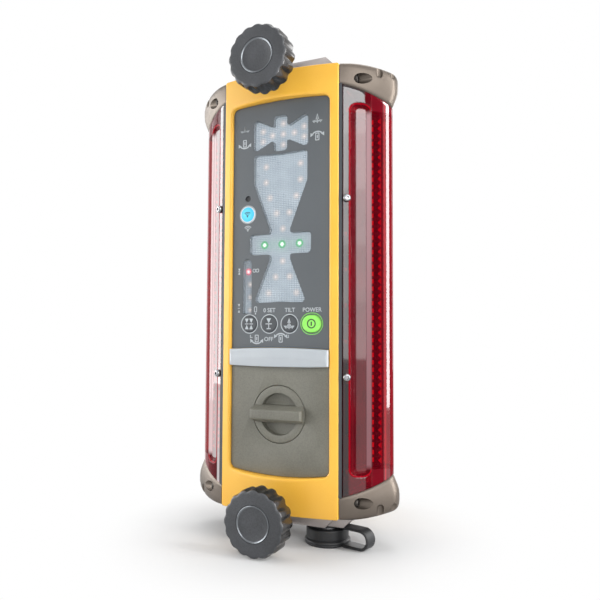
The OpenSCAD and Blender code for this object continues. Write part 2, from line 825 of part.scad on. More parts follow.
module radio_module() stand() color("lightgray") {
    half = 14;
    can_t = 3.4;
    low = main_post_z[1] - 64;
    high = low + 40;
    mast_x = 0.57 * half;
    mast_z = low + 22;
    mast_l = 34;
    foot = 2;
    foot_t = 5;
    block(-half, half, main_y - can_t, main_y - seam / 2, low, high);
    translate([mast_x, main_y - 2 * can_t, mast_z]) cylinder(r = 0.6 * foot, h = mast_l);
    block(mast_x - foot, mast_x + foot, main_y - can_t - foot_t, main_y - can_t + tiny,
          mast_z - 1.5 * foot, mast_z + 1.5 * foot);
}

// Battery pack

module battery_bay() stand() color("darkgray") difference() {
    t = 1.8;
    open_y = tongue_y + tongue_t + 0.8;
    block(-bay_x - t, bay_x + t, ledge_back + seam, back_plate_y - seam, bay_bottom - t, bay_top + t);
    block(-bay_x, bay_x, 0, body_d, bay_bottom, bay_top);
    block(-bay_x - past - t, bay_x + past + t, 0, open_y, bay_top - tiny, bay_top + t + past);
}

module battery_door() stand() color("gray") difference() {
    union() {
        along_y(panel_y, panel_y + face_t)
            polygon(arched(panel_w - 2 * play, panel_bottom + play, bar_bottom - play, bottom_arch,
                           -bar_bottom_arch, corner_r, small_r));
        block(-tray_x, tray_x, panel_y + face_t - tiny, tray_front, tray_bottom, tray_top);
    }
    translate([0, 0, latch_z]) rod(latch_r + play, 0, mid_y);
    difference() {
        block(-panel_w, panel_w, seal_y, seal_y + seal_t, -body_h, body_h);
        block(-tray_x + seal_in, tray_x - seal_in, 0, mid_y, tray_bottom + seal_in, tray_top - seal_in);
    }
}

seal_in = 0.8;
seal_y = ledge_y + 0.5;
seal_t = 1;

module door_seal() stand() color("black") difference() {
    y0 = seal_y + seam / 2;
    y1 = seal_y + seal_t - seam / 2;
    grow = 0.4;
    block(-tray_x - grow, tray_x + grow, y0, y1, tray_bottom - grow, tray_top + grow);
    block(-tray_x + seal_in, tray_x - seal_in, 0, mid_y, tray_bottom + seal_in, tray_top - seal_in);
}

module battery_tray() stand() color("darkslategray") difference() {
    clear_y = tongue_y + tongue_t + 0.4;
    block(-tray_x, tray_x, tray_front + seam / 2, tray_back, tray_bottom, tray_top);
    block(-tray_x + tray_t, tray_x - tray_t, 0, tray_back - tray_t, tray_bottom + tray_t, tray_top - tray_t);
    block(-tray_x - past, tray_x - tray_t, 0, clear_y, tray_bottom + tray_t, tray_top + past);
}

module battery_cells() stand() color("peru") for (s = [-1, 1])
    translate([s * cell_x, cell_y, cell_z - cell_l / 2]) {
        nub_r = 4.75;
        nub = 1.5;
        cylinder(r = cell_r, h = cell_l - nub);
        cylinder(r = nub_r, h = cell_l);
    }

module battery_contacts() stand() color("gainsboro") for (s = [-1, 1]) {
    low = tray_bottom + tray_t;
    high = tray_top - tray_t;
    translate([s * cell_x, cell_y, 0]) {
        block(-6, 6, -5, 5, low + seam / 2, cell_z - cell_l / 2 - seam / 2);
        block(-6, 6, -5, 5, cell_z + cell_l / 2 + seam / 2, high - seam / 2);
    }
}

// Latch: a round cup with a grip across two finger wells
module latch() stand() color("gray") translate([0, 0, latch_z]) difference() {
    root = 6.2;
    crest = 3.3;
    floor_t = 1.4;
    union() {
        difference() {
            rod(latch_r, panel_y - seam, latch_back);
            difference() {
                rod(well_d / 2, 0, latch_back - floor_t);
                block(-latch_d, latch_d, 0, latch_back, -root, root);
            }
        }
        intersection() {
            rod(latch_r, panel_y - grip_out, latch_back - tiny);
            along_x(-latch_d, latch_d) polygon([[panel_y + past, root], [panel_y + past, -root],
                                                [panel_y - grip_out, -crest], [panel_y - grip_out, crest]]);
        }
    }
    rod(1.6, latch_back - 4, latch_back + past);
}

module latch_tongue() stand() color("lightgray") translate([0, 0, latch_z]) difference() {
    half = 5;
    union() {
        rod(8, tongue_y, tongue_y + tongue_t);
        block(-tongue_reach, 0, tongue_y, tongue_y + tongue_t, -half, half);
    }
    rod(1.8, 0, mid_y);
}

module latch_screw() stand() color("lightgray") translate([0, 0, latch_z]) {
    rod(1.4, latch_back - 3.6, tongue_y + tongue_t);
    rod(2.8, tongue_y + tongue_t, tongue_y + tongue_t + 1.6);
}

// Mast clamps

spine_bolt_x = -frame_w / 2 + spine_w / 2 + 1;
boss_bolt_x = 9.6;
bolt_y = frame_y + 16;
bolt_places = [[-boss_bolt_x, bolt_y], [boss_bolt_x, bolt_y],
               [spine_bolt_x, bolt_y], [spine_bolt_x, bolt_y + 20]];
bolt_r = 2;
bolt_head = 4;
bolt_head_r = 3.4;

module clamp_frame() color("silver") difference() {
    w = frame_w / 2;
    union() {
        block(-w, w, frame_y, frame_y + plate_t, frame_z, frame_top);
        block(-boss_w / 2, boss_w / 2, frame_y, boss_back, frame_z, frame_top);
        block(-w, -w + spine_w, frame_y, mast_y, frame_z, frame_top);
        difference() {
            translate([0, mast_y, frame_z]) cylinder(r = mast_r + hook_t, h = stand_z - frame_z, $fn = fine);
            block(-mast_d, mast_d, 0, mast_y - hook_lap, 0, body_h);
            block(0, mast_d, 0, mast_y + mast_r - hook_hold, 0, body_h);
            block(hook_tip, mast_d, 0, body_d * 3, 0, body_h);
        }
    }
    translate([0, mast_y, 0]) cylinder(r = mast_r, h = body_h, $fn = fine);
    left_and_right() along_y(0, mast_y + past) polygon([[w + tiny, frame_top + tiny],
        [w - frame_chamfer, frame_top + tiny], [w + tiny, frame_top - frame_chamfer]]);
    translate([0, 0, spindle_z]) rod(spindle_r + running_fit, 0, boss_back + past);
    for (p = bolt_places) translate([p[0], p[1], 0]) {
        cylinder(r = bolt_r + seam, h = body_h);
        translate([0, 0, frame_top - bolt_head]) cylinder(r = bolt_head_r + 2 * seam, h = body_h);
    }
}

module top_clamp_frame() stand() clamp_frame();
module bottom_clamp_frame() stand() mirror([0, 0, 1]) clamp_frame();

module clamp_bolts() stand() color("dimgray") up_and_down() for (p = bolt_places)
    translate([p[0], p[1], 0]) difference() {
        head_z = frame_top - bolt_head;
        union() {
            translate([0, 0, deck_z - chassis_t]) cylinder(r = bolt_r, h = head_z - deck_z + chassis_t);
            translate([0, 0, head_z]) cylinder(r = bolt_head_r, h = bolt_head - 3 * seam);
        }
        translate([0, 0, head_z + bolt_head / 2]) cylinder(r = bolt_head_r / 2, h = bolt_head, $fn = 6);
    }

jaw_low = spindle_z - 10;
jaw_high = frame_top - 0.5;

// Plan of the notch that takes the mast, with its apex at y
module notch(y) {
    rise = jaw_w / tan(notch_half);
    polygon([[0, y], [jaw_w, y + rise], [-jaw_w, y + rise]]);
}

module jaw() color("gray") difference() {
    edge = jaw_notch + jaw_w / 2 / tan(notch_half);
    block(-jaw_w / 2, jaw_w / 2, jaw_front, edge, jaw_low, jaw_high);
    linear_extrude(body_h) notch(jaw_notch);
    translate([0, 0, spindle_z]) rod(tip_r + running_fit, 0, jaw_front + tip_l + play);
}

module jaw_liner() color("black") translate([0, 0, jaw_low]) linear_extrude(jaw_high - jaw_low)
    intersection() {
        difference() {
            notch(jaw_notch + 0.05);
            notch(jaw_face);
        }
        translate([-jaw_w / 2, 0]) square([jaw_w, mast_y]);
    }

module top_jaw() stand() jaw();
module bottom_jaw() stand() mirror([0, 0, 1]) jaw();
module top_jaw_liner() stand() jaw_liner();
module bottom_jaw_liner() stand() mirror([0, 0, 1]) jaw_liner();

module spindle() color("lightgray") translate([0, 0, spindle_z]) {
    rod(spindle_r, knob_y + spindle_in, jaw_front - play);
    rod(tip_r, jaw_front - play - tiny, jaw_front + tip_l);
}

module top_spindle() stand() spindle();
module bottom_spindle() stand() mirror([0, 0, 1]) spindle();

insert_t = 2;

module knob() color("darkslategray") translate([0, 0, spindle_z]) difference() {
    flute_r = 3;
    round_r = 2.5;
    union() {
        difference() {
            translate([0, knob_y, 0]) rotate([-90, 0, 0]) rotate_extrude($fn = fine)
                polygon(concat([[0, knob_t], [0, 0]], arc([knob_r - round_r, round_r], round_r, -90, 0, 6),
                               arc([knob_r - 1, knob_t - 1], 1, 0, 90, 4)));
            for (i = [0:lobes - 1]) rotate([0, (i + 0.5) * 360 / lobes, 0])
                translate([knob_r + flute_r - flute_d, 0, 0])
                    rod(flute_r, knob_y - past, knob_y + knob_t + past);
        }
        rod(hub_r, knob_y + knob_t - past, knob_y + knob_t + 6);
    }
    rod(spindle_r + tight_fit, knob_y + spindle_in - tiny, 0);
    rod(insert_d / 2 + seam / 2, knob_y - past, knob_y + insert_t);
}

module top_knob() stand() knob();
module bottom_knob() stand() mirror([0, 0, 1]) knob();

module knob_insert() color("darkslategray") translate([0, 0, spindle_z])
    rod(insert_d / 2, knob_y + 0.6, knob_y + insert_t);

module top_insert() stand() knob_insert();
module bottom_insert() stand() mirror([0, 0, 1]) knob_insert();

// Connector and its dust cap

module at_socket() stand() translate([socket_x, socket_y, 0]) children();

module connector_mount() stand() color("silver") difference() {
    x0 = jaw_w / 2 + 1.5;
    x1 = half_w + 7;
    foot_x = chassis_x - chassis_t - play;
    t = 1.2;
    y0 = frame_y + plate_t + play;
    y1 = 2 * socket_y - y0;
    slope = -mount_z - half_h - play;
    plate_top = mount_z + slope;
    union() {
        along_y(y0, y1) polygon([[x0, plate_top], [x0, mount_z], [x1 - slope, mount_z], [x1, plate_top]]);
        block(x0, foot_x, y0, y1, plate_top - tiny, -deck_z - seam);
    }
    block(x0 + t, foot_x - t, y0 + t, y1 - t, plate_top, 0);
    translate([socket_x, socket_y, -body_h]) cylinder(r = socket_r + 0.1, h = half_h + deck_drop);
    connector_screw_places() cylinder(r = 1.3, h = 12, center = true);
}

module connector_screw_places() for (a = [35, 215])
    translate([socket_x, socket_y, mount_z]) rotate(a) translate([socket_r + 4.6, 0, 0]) children();

module connector_shell() at_socket() color("silver") difference() {
    plate_top = -half_h - play;
    union() {
        translate([0, 0, -socket_end]) cylinder(r = socket_r, h = socket_end + plate_top + 3);
        translate([0, 0, plate_top + 0.1]) cylinder(r = socket_r + 1.2, h = 2.4);
    }
    translate([0, 0, -body_h]) cylinder(r = socket_r - 1.6, h = body_h);
}

module connector_pins() at_socket() color("black") {
    r = socket_r - 1.7;
    translate([0, 0, -socket_end + 5]) cylinder(r = r, h = socket_end - half_h - 2);
    for (i = [0:5]) rotate(i * 60) translate([r * 0.6, 0, -socket_end + 1]) cylinder(r = 0.8, h = 6);
}

module connector_screws() stand() color("lightgray") connector_screw_places() {
    translate([0, 0, -1.9]) cylinder(r = 2, h = 1.9);
    cylinder(r = 1.2, h = 5);
}

module dust_cap() at_socket() color("black") difference() {
    union() {
        translate([0, 0, -stand_z]) cylinder(r = cap_r, h = stand_z - cap_top);
        translate([0, 0, -stand_z]) cylinder(r = cap_rim_r, h = cap_rim_t);
    }
    translate([0, 0, -socket_end - play]) cylinder(r = socket_r + play, h = body_h);
}

// Strap from a ring under the connector plate out, down and back to the cap's rim
module cap_strap() at_socket() color("black") {
    translate([0, 0, strap_up - strap_t / 2]) difference() {
        cylinder(r = socket_r + 2.2, h = strap_t);
        translate([0, 0, -past]) cylinder(r = socket_r + 0.2, h = strap_t + 2 * past);
    }
    rotate(strap_turn) along_y(-strap_w / 2, strap_w / 2) {
        translate([socket_r + 1.6, strap_up - strap_t / 2]) square([strap_s - socket_r - 1.6, strap_t]);
        translate([cap_rim_r + 0.5, strap_low - strap_t / 2]) square([strap_s - cap_rim_r - 0.5, strap_t]);
        translate([strap_s, (strap_up + strap_low) / 2]) intersection() {
            difference() {
                circle(r = strap_r + strap_t / 2);
                circle(r = strap_r - strap_t / 2);
            }
            translate([0, -body_h]) square([body_h, 2 * body_h]);
        }
    }
}

front_housing();
rear_housing();
chassis();
housing_screws();
left_window();
right_window();
window_gaskets();
window_screws();
top_left_bumper();
top_right_bumper();
bottom_left_bumper();
bottom_right_bumper();
bumper_screws();
sensor_boards();
light_combs();
faceplate();
display_window();
display_board();
board_screws();
arrow_leds();
grade_leds();
key_switches();
status_lamp();
light_sensor();
trim_bar();
sensitivity_button();
zero_button();
tilt_button();
power_button();
main_board();
tilt_sensor();
radio_module();
battery_bay();
battery_door();
door_seal();
battery_tray();
battery_cells();
battery_contacts();
latch();
latch_tongue();
latch_screw();
top_clamp_frame();
bottom_clamp_frame();
clamp_bolts();
top_jaw();
bottom_jaw();
top_jaw_liner();
bottom_jaw_liner();
top_spindle();
bottom_spindle();
top_knob();
bottom_knob();
top_insert();
bottom_insert();
connector_mount();
connector_shell();
connector_pins();
connector_screws();
dust_cap();
cap_strap();
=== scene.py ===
import json
import math
from contextlib import contextmanager

import bmesh
import bpy
from mathutils import Matrix, Vector
from mathutils.geometry import delaunay_2d_cdt


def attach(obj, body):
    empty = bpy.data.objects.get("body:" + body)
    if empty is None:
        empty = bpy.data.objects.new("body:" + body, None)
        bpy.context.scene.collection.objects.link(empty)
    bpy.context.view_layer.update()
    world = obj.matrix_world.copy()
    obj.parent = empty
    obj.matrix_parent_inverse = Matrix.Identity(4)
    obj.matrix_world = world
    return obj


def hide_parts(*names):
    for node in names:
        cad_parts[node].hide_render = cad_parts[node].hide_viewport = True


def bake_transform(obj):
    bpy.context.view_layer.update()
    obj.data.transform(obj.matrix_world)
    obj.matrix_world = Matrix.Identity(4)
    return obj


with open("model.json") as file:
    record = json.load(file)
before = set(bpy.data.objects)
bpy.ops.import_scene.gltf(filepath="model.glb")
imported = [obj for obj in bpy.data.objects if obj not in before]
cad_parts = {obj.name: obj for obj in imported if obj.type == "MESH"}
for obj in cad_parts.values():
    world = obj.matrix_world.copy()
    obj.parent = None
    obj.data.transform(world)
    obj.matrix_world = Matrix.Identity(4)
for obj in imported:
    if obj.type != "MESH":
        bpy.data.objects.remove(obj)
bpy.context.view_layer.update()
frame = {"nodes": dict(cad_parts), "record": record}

# Sizes in millimetres, drawn about the middle of the front cover, whose bow touches y = 0

MM = 0.001
CENTRE_Y = 49.0
STAND_Z = 183.2
BODY_W = 156.0
BODY_D = 64.0
MID_Y = BODY_D / 2
SEAM = 0.2

# Front cover
HALF_W = 47.0
HALF_H = 161.0
BOW = 5.2
BOW_R = (HALF_W ** 2 + BOW ** 2) / (2 * BOW)
COVER_T = 3.0
RETURN_Y = 10.4
CLAMP_HALF = 41.3
CLAMP_Z = 146.0
CLAMP_RETURN_Y = 7.8
EDGE_STEPS = 24
SIDE_STEPS = 30

# Panel, battery bay and trim bar
PANEL_W = 80.0
PANEL_TOP = 140.8
PANEL_BOTTOM = -135.6
TOP_ARCH = 2.2
BOTTOM_ARCH = 3.6
CORNER_R = 5.0
PANEL_Y = 6.4
LEDGE_Y = 8.6
LEDGE_BACK = 10.6
BAY_X = 37.0
BAY_BOTTOM = -130.6
BAR_TOP = -43.0
BAR_BOTTOM = -57.0
BAR_TOP_ARCH = 1.2
BAR_BOTTOM_ARCH = 0.8

# Side windows, their long recess, which lies SLOT_HALF about SLOT_MID in x, and their screws
FACE_R = 80.0
NOSE_R = 8.0
WINDOW_X = 49.0
WINDOW_Y = 5.6
WINDOW_T = 3.0
WINDOW_END = 146.0
RIM_SLOPE = 0.56
SLOT_X = 60.8
SLOT_W = 15.0
SLOT_D = 2.4
SLOT_H = 132.0
SLOT_R = 5.5
SLOT_MID = 60.05
SLOT_HALF = 6.85
SCREW_X = 52.0
SCREW_Z = 63.0
STUD_X = 51.4

# Display and keys
TILT_Z = 116.0
ARROW_TOP = 101.3
GRADE_Z = 33.4
STRIP_X = -27.0
STRIP_TOP = 22.8
STRIP_BOTTOM = -17.8
LAMP_Z = 56.8
LAMP_R = 6.3
KEY_Z = -25.6
KEY_X = {"sensitivity_button": -24.9, "zero_button": -8.3, "tilt_button": 8.3, "power_button": 25.9}
KEY_R = 6.2
KEY_Y = 5.6
POWER_HALF = 1.3
PRINT_T = 0.03

# Knobs, bumper pockets, latch and connector cap
SPINDLE_Z = 160.0
KNOB_R = 23.2
KNOB_Y = -32.0
KNOB_T = 15.0
LOBES = 16
POCKET_X = 57.0
POCKET_Y = 12.6
POCKET_Z = 149.5
LATCH_Z = -91.1
LATCH_R = 20.8
WELL_R = 15.3
GRIP_Y = -1.0
CAP_X = 30.0
CAP_Y = 27.0
CAP_H = 11.6


# Points and outlines


def place(x, y, z):
    """Point of the drawing, in the part's own frame and in metres."""
    return Vector((x * MM, (y - CENTRE_Y) * MM, (z + STAND_Z) * MM))


def spread(a, b, n):
    """n + 1 even steps from a to b."""
    return [a + (b - a) * i / n for i in range(n + 1)]


def arc(cx, cy, r, a0, a1, n):
    """Points of a circle from one angle to another, in degrees."""
    angles = [math.radians(a) for a in spread(a0, a1, n)]
    return [(cx + r * math.cos(a), cy + r * math.sin(a)) for a in angles]


def circle(cx, cz, r, n=40):
    return arc(cx, cz, r, 0, 360, n)[:-1]


def oval(cx, cz, half, r, n=16):
    """Outline of two round ends, each half away from the middle, anticlockwise."""
    return arc(cx + half, cz, r, -90, 90, n) + arc(cx - half, cz, r, 90, 270, n)


def flipped(points):
    """Points of a right half as those of the left half, in the order that closes an outline."""
    return [(-x, z) for x, z in reversed(points)]


def arched(w, z0, z1, arch0, arch1, r0, r1, sides=SIDE_STEPS):
    """Outline with arched lower and upper edges, as points that run anticlockwise from the lower left."""
    h, x0, x1 = w / 2, w / 2 - r0, w / 2 - r1
    low, high = z0 + arch0 * (x0 / h) ** 2, z1 - arch1 * (x1 / h) ** 2
    points = [(t, z0 + arch0 * (t / h) ** 2) for t in spread(-x0, x0, EDGE_STEPS)]
    points += arc(x0, low + r0, r0, -90, 0, 6)
    points += [(h, z) for z in spread(low + r0, high - r1, sides)[1:-1]]
    points += arc(x1, high - r1, r1, 0, 90, 6)
    points += [(t, z1 - arch1 * (t / h) ** 2) for t in spread(x1, -x1, EDGE_STEPS)]
    points += arc(-x1, high - r1, r1, 90, 180, 6)
    points += [(-h, z) for z in spread(high - r1, low + r0, sides)[1:-1]]
    points += arc(-x0, low + r0, r0, 180, 270, 6)
    return points


def grown(outline, d):
    """Closed outline moved outwards by d along its normals (anticlockwise points)."""
    result = []
    n = len(outline)
    for i, (x, z) in enumerate(outline):
        tangents = []
        for j, k in ((i - 1, i), (i, (i + 1) % n)):
            a, b = Vector(outline[j]), Vector(outline[k])
            if (b - a).length > 1e-6:
                tangents.append((b - a).normalized())
        t = sum(tangents, Vector((0, 0))).normalized()
        bend = max(0.5, t.dot(tangents[0])) if tangents else 1.0
        result.append((x + d * t.y / bend, z - d * t.x / bend))
    return result


def rounded(points, radius, n=5):
    """Closed outline with its corners rounded, each as far as its sides allow."""
    result = []
    corners = [Vector(p) for p in points]
    for i, p in enumerate(corners):
        a, b = corners[i - 1] - p, corners[(i + 1) % len(corners)] - p
        u, v = a.normalized(), b.normalized()
        half = math.acos(max(-1.0, min(1.0, u.dot(v)))) / 2
        if half > math.radians(86):
            result.append(tuple(p))
            continue
        t = min(radius / math.tan(half), 0.48 * a.length, 0.48 * b.length)
        r = t * math.tan(half)
        c = p + (u + v).normalized() * (r / math.sin(half))
        start, end = p + u * t - c, p + v * t - c
        turn = start.angle_signed(end)
        for k in range(n + 1):
            w = -turn * k / n
            x = start.x * math.cos(w) - start.y * math.sin(w)
            z = start.x * math.sin(w) + start.y * math.cos(w)
            result.append((c.x + x, c.y + z))
    return result


def box_outline(cx, cz, half_w, half_h, r):
    right, top = cx + half_w, cz + half_h
    left, bottom = cx - half_w, cz - half_h
    return rounded([(left, bottom), (right, bottom), (right, top), (left, top)], r)


def within(point, outline, margin):
    """Whether a point lies inside a closed outline and at least margin away from it."""
    x, z = point
    inside = False
    n = len(outline)
    for i in range(n):
        (x0, z0), (x1, z1) = outline[i], outline[(i + 1) % n]
        if (z0 > z) != (z1 > z) and x < x0 + (z - z0) * (x1 - x0) / (z1 - z0):
            inside = not inside
        a, b = Vector((x0, z0)), Vector((x1, z1))
        length = (b - a).length_squared
        t = max(0.0, min(1.0, (Vector(point) - a).dot(b - a) / length)) if length else 0.0
        if (a + (b - a) * t - Vector(point)).length < margin:
            return False
    return inside


def at(y, outline):
    """Outline drawn in x and z, set at depth y."""
    return [(x, y, z) for x, z in outline]


def bow(x):
    """Depth of the cover's bow at x."""
    return BOW_R - math.sqrt(BOW_R ** 2 - x * x)


def on_bow(outline, behind=0.0):
    """Outline drawn in x and z, laid on the bow or behind it."""
    return [(x, bow(x) + behind, z) for x, z in outline]


def rim_z(y):
    """Height of the sloped seam between a window and its bumper, at depth y."""
    return WINDOW_END + RIM_SLOPE * (WINDOW_Y - min(y, BODY_D - y))


def face_centre(flare=0.0):
    """Centre of the arc of a window's face, and the centre of its nose."""
    p = Vector((HALF_W + SEAM, WINDOW_Y))
    q = Vector((BODY_W / 2 - NOSE_R + flare, MID_Y))
    d = (q - p).length
    u = (q - p) / d
    a = (d * d + FACE_R ** 2 - (FACE_R - NOSE_R) ** 2) / (2 * d)
    return p + a * u + math.sqrt(FACE_R ** 2 - a * a) * Vector((-u.y, u.x)), q


def face_seat(x, depth=0.0):
    """Point of a window's face at x, or depth behind it, and the way the face looks there."""
    c = face_centre()[0]
    a = math.asin((x - c.x) / FACE_R)
    r = FACE_R - depth
    return (c.x + r * math.sin(a), c.y - r * math.cos(a)), (math.sin(a), -math.cos(a), 0)


# Meshes


@contextmanager
def opened(mesh):
    """Mesh opened for editing, and written back after it."""
    work = bmesh.new()
    work.from_mesh(mesh)
    yield work
    work.to_mesh(mesh)
    work.free()


def linked(name, data):
    """New object in the scene, at the origin."""
    made = bpy.data.objects.new(name, data)
    bpy.context.collection.objects.link(made)
    return made


def dress(mesh, *finishes):
    """Gives a mesh its finishes, in the order of its slots."""
    mesh.materials.clear()
    for finish in finishes:
        mesh.materials.append(finish.material)


def smooth(mesh, angle):
    """Shades a mesh smooth, but for edges sharper than the angle."""
    mesh.shade_smooth()
    mesh.set_sharp_from_angle(angle=math.radians(angle))


def settle(piece, angle):
    """Turns what the modifiers of a piece make into its own plain mesh."""
    bpy.context.view_layer.update()
    shaped = piece.evaluated_get(bpy.context.evaluated_depsgraph_get())
    made = bpy.data.meshes.new_from_object(shaped)
    piece.modifiers.clear()
    piece.data = made
    made.name = piece.name
    smooth(made, angle)


class Sheet:
    """Points and faces of one piece, collected from rings, grids and caps."""

    def __init__(self):
        self.points = []
        self.faces = []

    def ring(self, points):
        first = len(self.points)
        self.points += points
        return list(range(first, len(self.points)))

    def bridge(self, a, b, closed=True):
        n = len(a)
        for i in range(n if closed else n - 1):
            j = (i + 1) % n
            self.faces.append((a[i], a[j], b[j], b[i]))

    def loft(self, rings, closed=True):
        made = [self.ring(r) for r in rings]
        for a, b in zip(made, made[1:]):
            self.bridge(a, b, closed)
        return made

    def tube(self, rings):
        """Loft of closed rings with both its ends closed."""
        made = self.loft(rings)
        self.faces += [tuple(made[0]), tuple(made[-1])]

    def face(self, outline, inside, y):
        """Flat face at y in a closed outline, cut into triangles that use the inner points too."""
        n = len(outline)
        edges = [(i, (i + 1) % n) for i in range(n)]
        found = delaunay_2d_cdt([Vector(q) for q in outline + inside], edges, [], 2, 1e-5)
        first = len(self.points)
        self.points += [(q.x, y, q.y) for q in found[0]]
        self.faces += [tuple(first + i for i in f) for f in found[2]]

    def block(self, x0, x1, y0, y1, z0, z1):
        self.tube([at(y, [(x0, z0), (x1, z0), (x1, z1), (x0, z1)]) for y in (y0, y1)])

    def piece(self, name, *finishes, angle=32):
        """Object with its place in its mesh."""
        mesh = bpy.data.meshes.new(name)
        mesh.from_pydata([place(*p) for p in self.points], [], self.faces)
        with opened(mesh) as work:
            bmesh.ops.remove_doubles(work, verts=work.verts, dist=1e-6)
            bmesh.ops.recalc_face_normals(work, faces=work.faces)
        smooth(mesh, angle)
        dress(mesh, *finishes)
        return linked(name, mesh)


class Marks(Sheet):
    """Thin print that lies on a flat face at y."""

    def __init__(self, y):
        super().__init__()
        self.y = y
        self.front, self.back = y - PRINT_T, y + PRINT_T

    def area(self, outline):
        self.tube([at(self.front, outline), at(self.back, outline)])

    def bar(self, x0, z0, x1, z1, w):
        a, b = Vector((x0, z0)), Vector((x1, z1))
        along = (b - a).normalized() * (w / 2)
        side = Vector((-along.y, along.x))
        self.area([tuple(a - side), tuple(b - side), tuple(b + side), tuple(a + side)])

    def sweep(self, cx, cz, r0, r1, a0, a1, n=16):
        self.area(arc(cx, cz, r1, a0, a1, n) + arc(cx, cz, r0, a1, a0, n))

    def hoop(self, outer, inner):
        self.loft([at(self.back, outer), at(self.front, outer), at(self.front, inner), at(self.back, inner),
                   at(self.back, outer)])

    def arrow(self, x, z, aim, length, w):
        """Arrow head with its point at (x, z)."""
        a = math.radians(aim)
        u, v = Vector((math.cos(a), math.sin(a))), Vector((-math.sin(a), math.cos(a)))
        tip = Vector((x, z))
        self.area([tuple(tip), tuple(tip - u * length + v * w / 2), tuple(tip - u * length - v * w / 2)])

    def waves(self, cx, cz, radii, half_t, reach):
        """Arcs over a dot."""
        for r in radii:
            self.sweep(cx, cz, r - half_t, r + half_t, 90 - reach, 90 + reach)

    def word(self, text, size, cx, cz):
        letters = bpy.data.curves.new("letters", "FONT")
        letters.body = text
        letters.size = size
        letters.align_x = "CENTER"
        letters.align_y = "CENTER"
        letters.extrude = PRINT_T
        letters.offset = 0.05
        letters.resolution_u = 3
        holder = bpy.data.objects.new("letters", letters)
        mesh = bpy.data.meshes.new_from_object(holder)
        first = len(self.points)
        self.points += [(cx + v.co.x, self.y - v.co.z, cz + v.co.y) for v in mesh.vertices]
        self.faces += [tuple(first + i for i in f.vertices) for f in mesh.polygons]
        bpy.data.objects.remove(holder)
        bpy.data.curves.remove(letters)
        bpy.data.meshes.remove(mesh)


def edge_rings(outline, front, edge):
    """Rings of a round edge, from the sides of an outline to its face at depth front."""
    rings = []
    for a in spread(0, math.pi / 2, 4):
        line = grown(outline, -edge * (1 - math.cos(a)))
        rings.append(at(front + edge * (1 - math.sin(a)), line))
    return rings


def disc_rings(outline, back, front, edge, dish):
    """Rings of a key: straight sides, a round front edge and a face that dips by dish in its middle."""
    rings = [at(back, outline)] + edge_rings(outline, front, edge)
    inner = grown(outline, -edge)
    cx, cz = (sum(q[k] for q in inner) / len(inner) for k in (0, 1))
    for t in (0.8, 0.6, 0.4, 0.2):
        rings.append([(cx + (x - cx) * t, front + dish * (1 - t * t), cz + (z - cz) * t) for x, z in inner])
    return rings


def stand_for(piece, body, slot, *nodes):
    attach(piece, body)
    if nodes:
        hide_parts(*nodes)


def softened(name, node, finish, width, body="receiver"):
    """Copy of a CAD solid with its edges rounded by width."""
    mesh = frame["nodes"][node].data.copy()
    with opened(mesh) as work:
        bmesh.ops.remove_doubles(work, verts=work.verts, dist=2e-6)
        bmesh.ops.dissolve_limit(work, angle_limit=math.radians(1), verts=work.verts, edges=work.edges)
    dress(mesh, finish)
    piece = linked(name, mesh)
    edge = piece.modifiers.new("edges", "BEVEL")
    edge.width = width * MM
    edge.segments = 3
    edge.limit_method = "ANGLE"
    edge.angle_limit = math.radians(30)
    edge.use_clamp_overlap = True
    settle(piece, 40)
    slot = next(q["material_slot"] for q in frame["record"]["subparts"] if q["node"] == node)
    stand_for(piece, body, slot, node)


def carved(piece, cutters):
    """Takes the cutters' shapes out of a piece."""
    for cutter in cutters:
        cut = piece.modifiers.new("cut", "BOOLEAN")
        cut.object = cutter
        cut.solver = "EXACT"
    settle(piece, 35)
    for cutter in cutters:
        bpy.data.objects.remove(cutter)


# Finishes


def rgb(r, g, b):
    """Linear colour from values of 0 to 255."""
    def line(v):
        v /= 255
        return v / 12.92 if v <= 0.04045 else ((v + 0.055) / 1.055) ** 2.4
    return (line(r), line(g), line(b), 1.0)


BLACKEST = (0, 0, 0, 1)
WHITE = (1, 1, 1, 1)


def feed(tree, socket, value):
    """Links a wire to a socket, or sets the socket's own value."""
    if isinstance(value, Wire):
        tree.links.new(value.socket, socket)
    else:
        socket.default_value = value


class Wire:
    """Output socket of a node; arithmetic on it adds Math nodes to its tree."""

    def __init__(self, tree, socket):
        self.tree = tree
        self.socket = socket

    @classmethod
    def node(cls, tree, kind, settings=(), values=(), out=0):
        """New node with its settings, then the values or links of its sockets."""
        made = tree.nodes.new(kind)
        for key, value in dict(settings).items():
            setattr(made, key, value)
        for key, value in dict(values).items():
            feed(tree, made.inputs[key], value)
        return cls(tree, made.outputs[out])

    def maths(self, operation, other=0.0, flip=False):
        first, second = (other, self) if flip else (self, other)
        return Wire.node(self.tree, "ShaderNodeMath", {"operation": operation}, {0: first, 1: second})

    def __add__(self, other):
        return self.maths("ADD", other)

    def __sub__(self, other):
        return self.maths("SUBTRACT", other)

    def __rsub__(self, other):
        return self.maths("SUBTRACT", other, flip=True)

    def __mul__(self, other):
        return self.maths("MULTIPLY", other)

    def __truediv__(self, other):
        return self.maths("DIVIDE", other)

    __radd__ = __add__
    __rmul__ = __mul__

    def step(self, low, high):
        """Smooth rise from 0 at low to 1 at high."""
        return Wire.node(self.tree, "ShaderNodeMapRange", {"interpolation_type": "SMOOTHSTEP"},
                         {"Value": self, "From Min": low, "From Max": high})

    def band(self, low, high, soft):
        """1 between low and high, with soft edges."""
        return self.step(low - soft, low + soft) * (1 - self.step(high - soft, high + soft))

    def mix(self, a, b):
        """Colour that goes from a to b with this value."""
        return Wire.node(self.tree, "ShaderNodeMix", {"data_type": "RGBA"}, {0: self, 6: a, 7: b}, out=2)


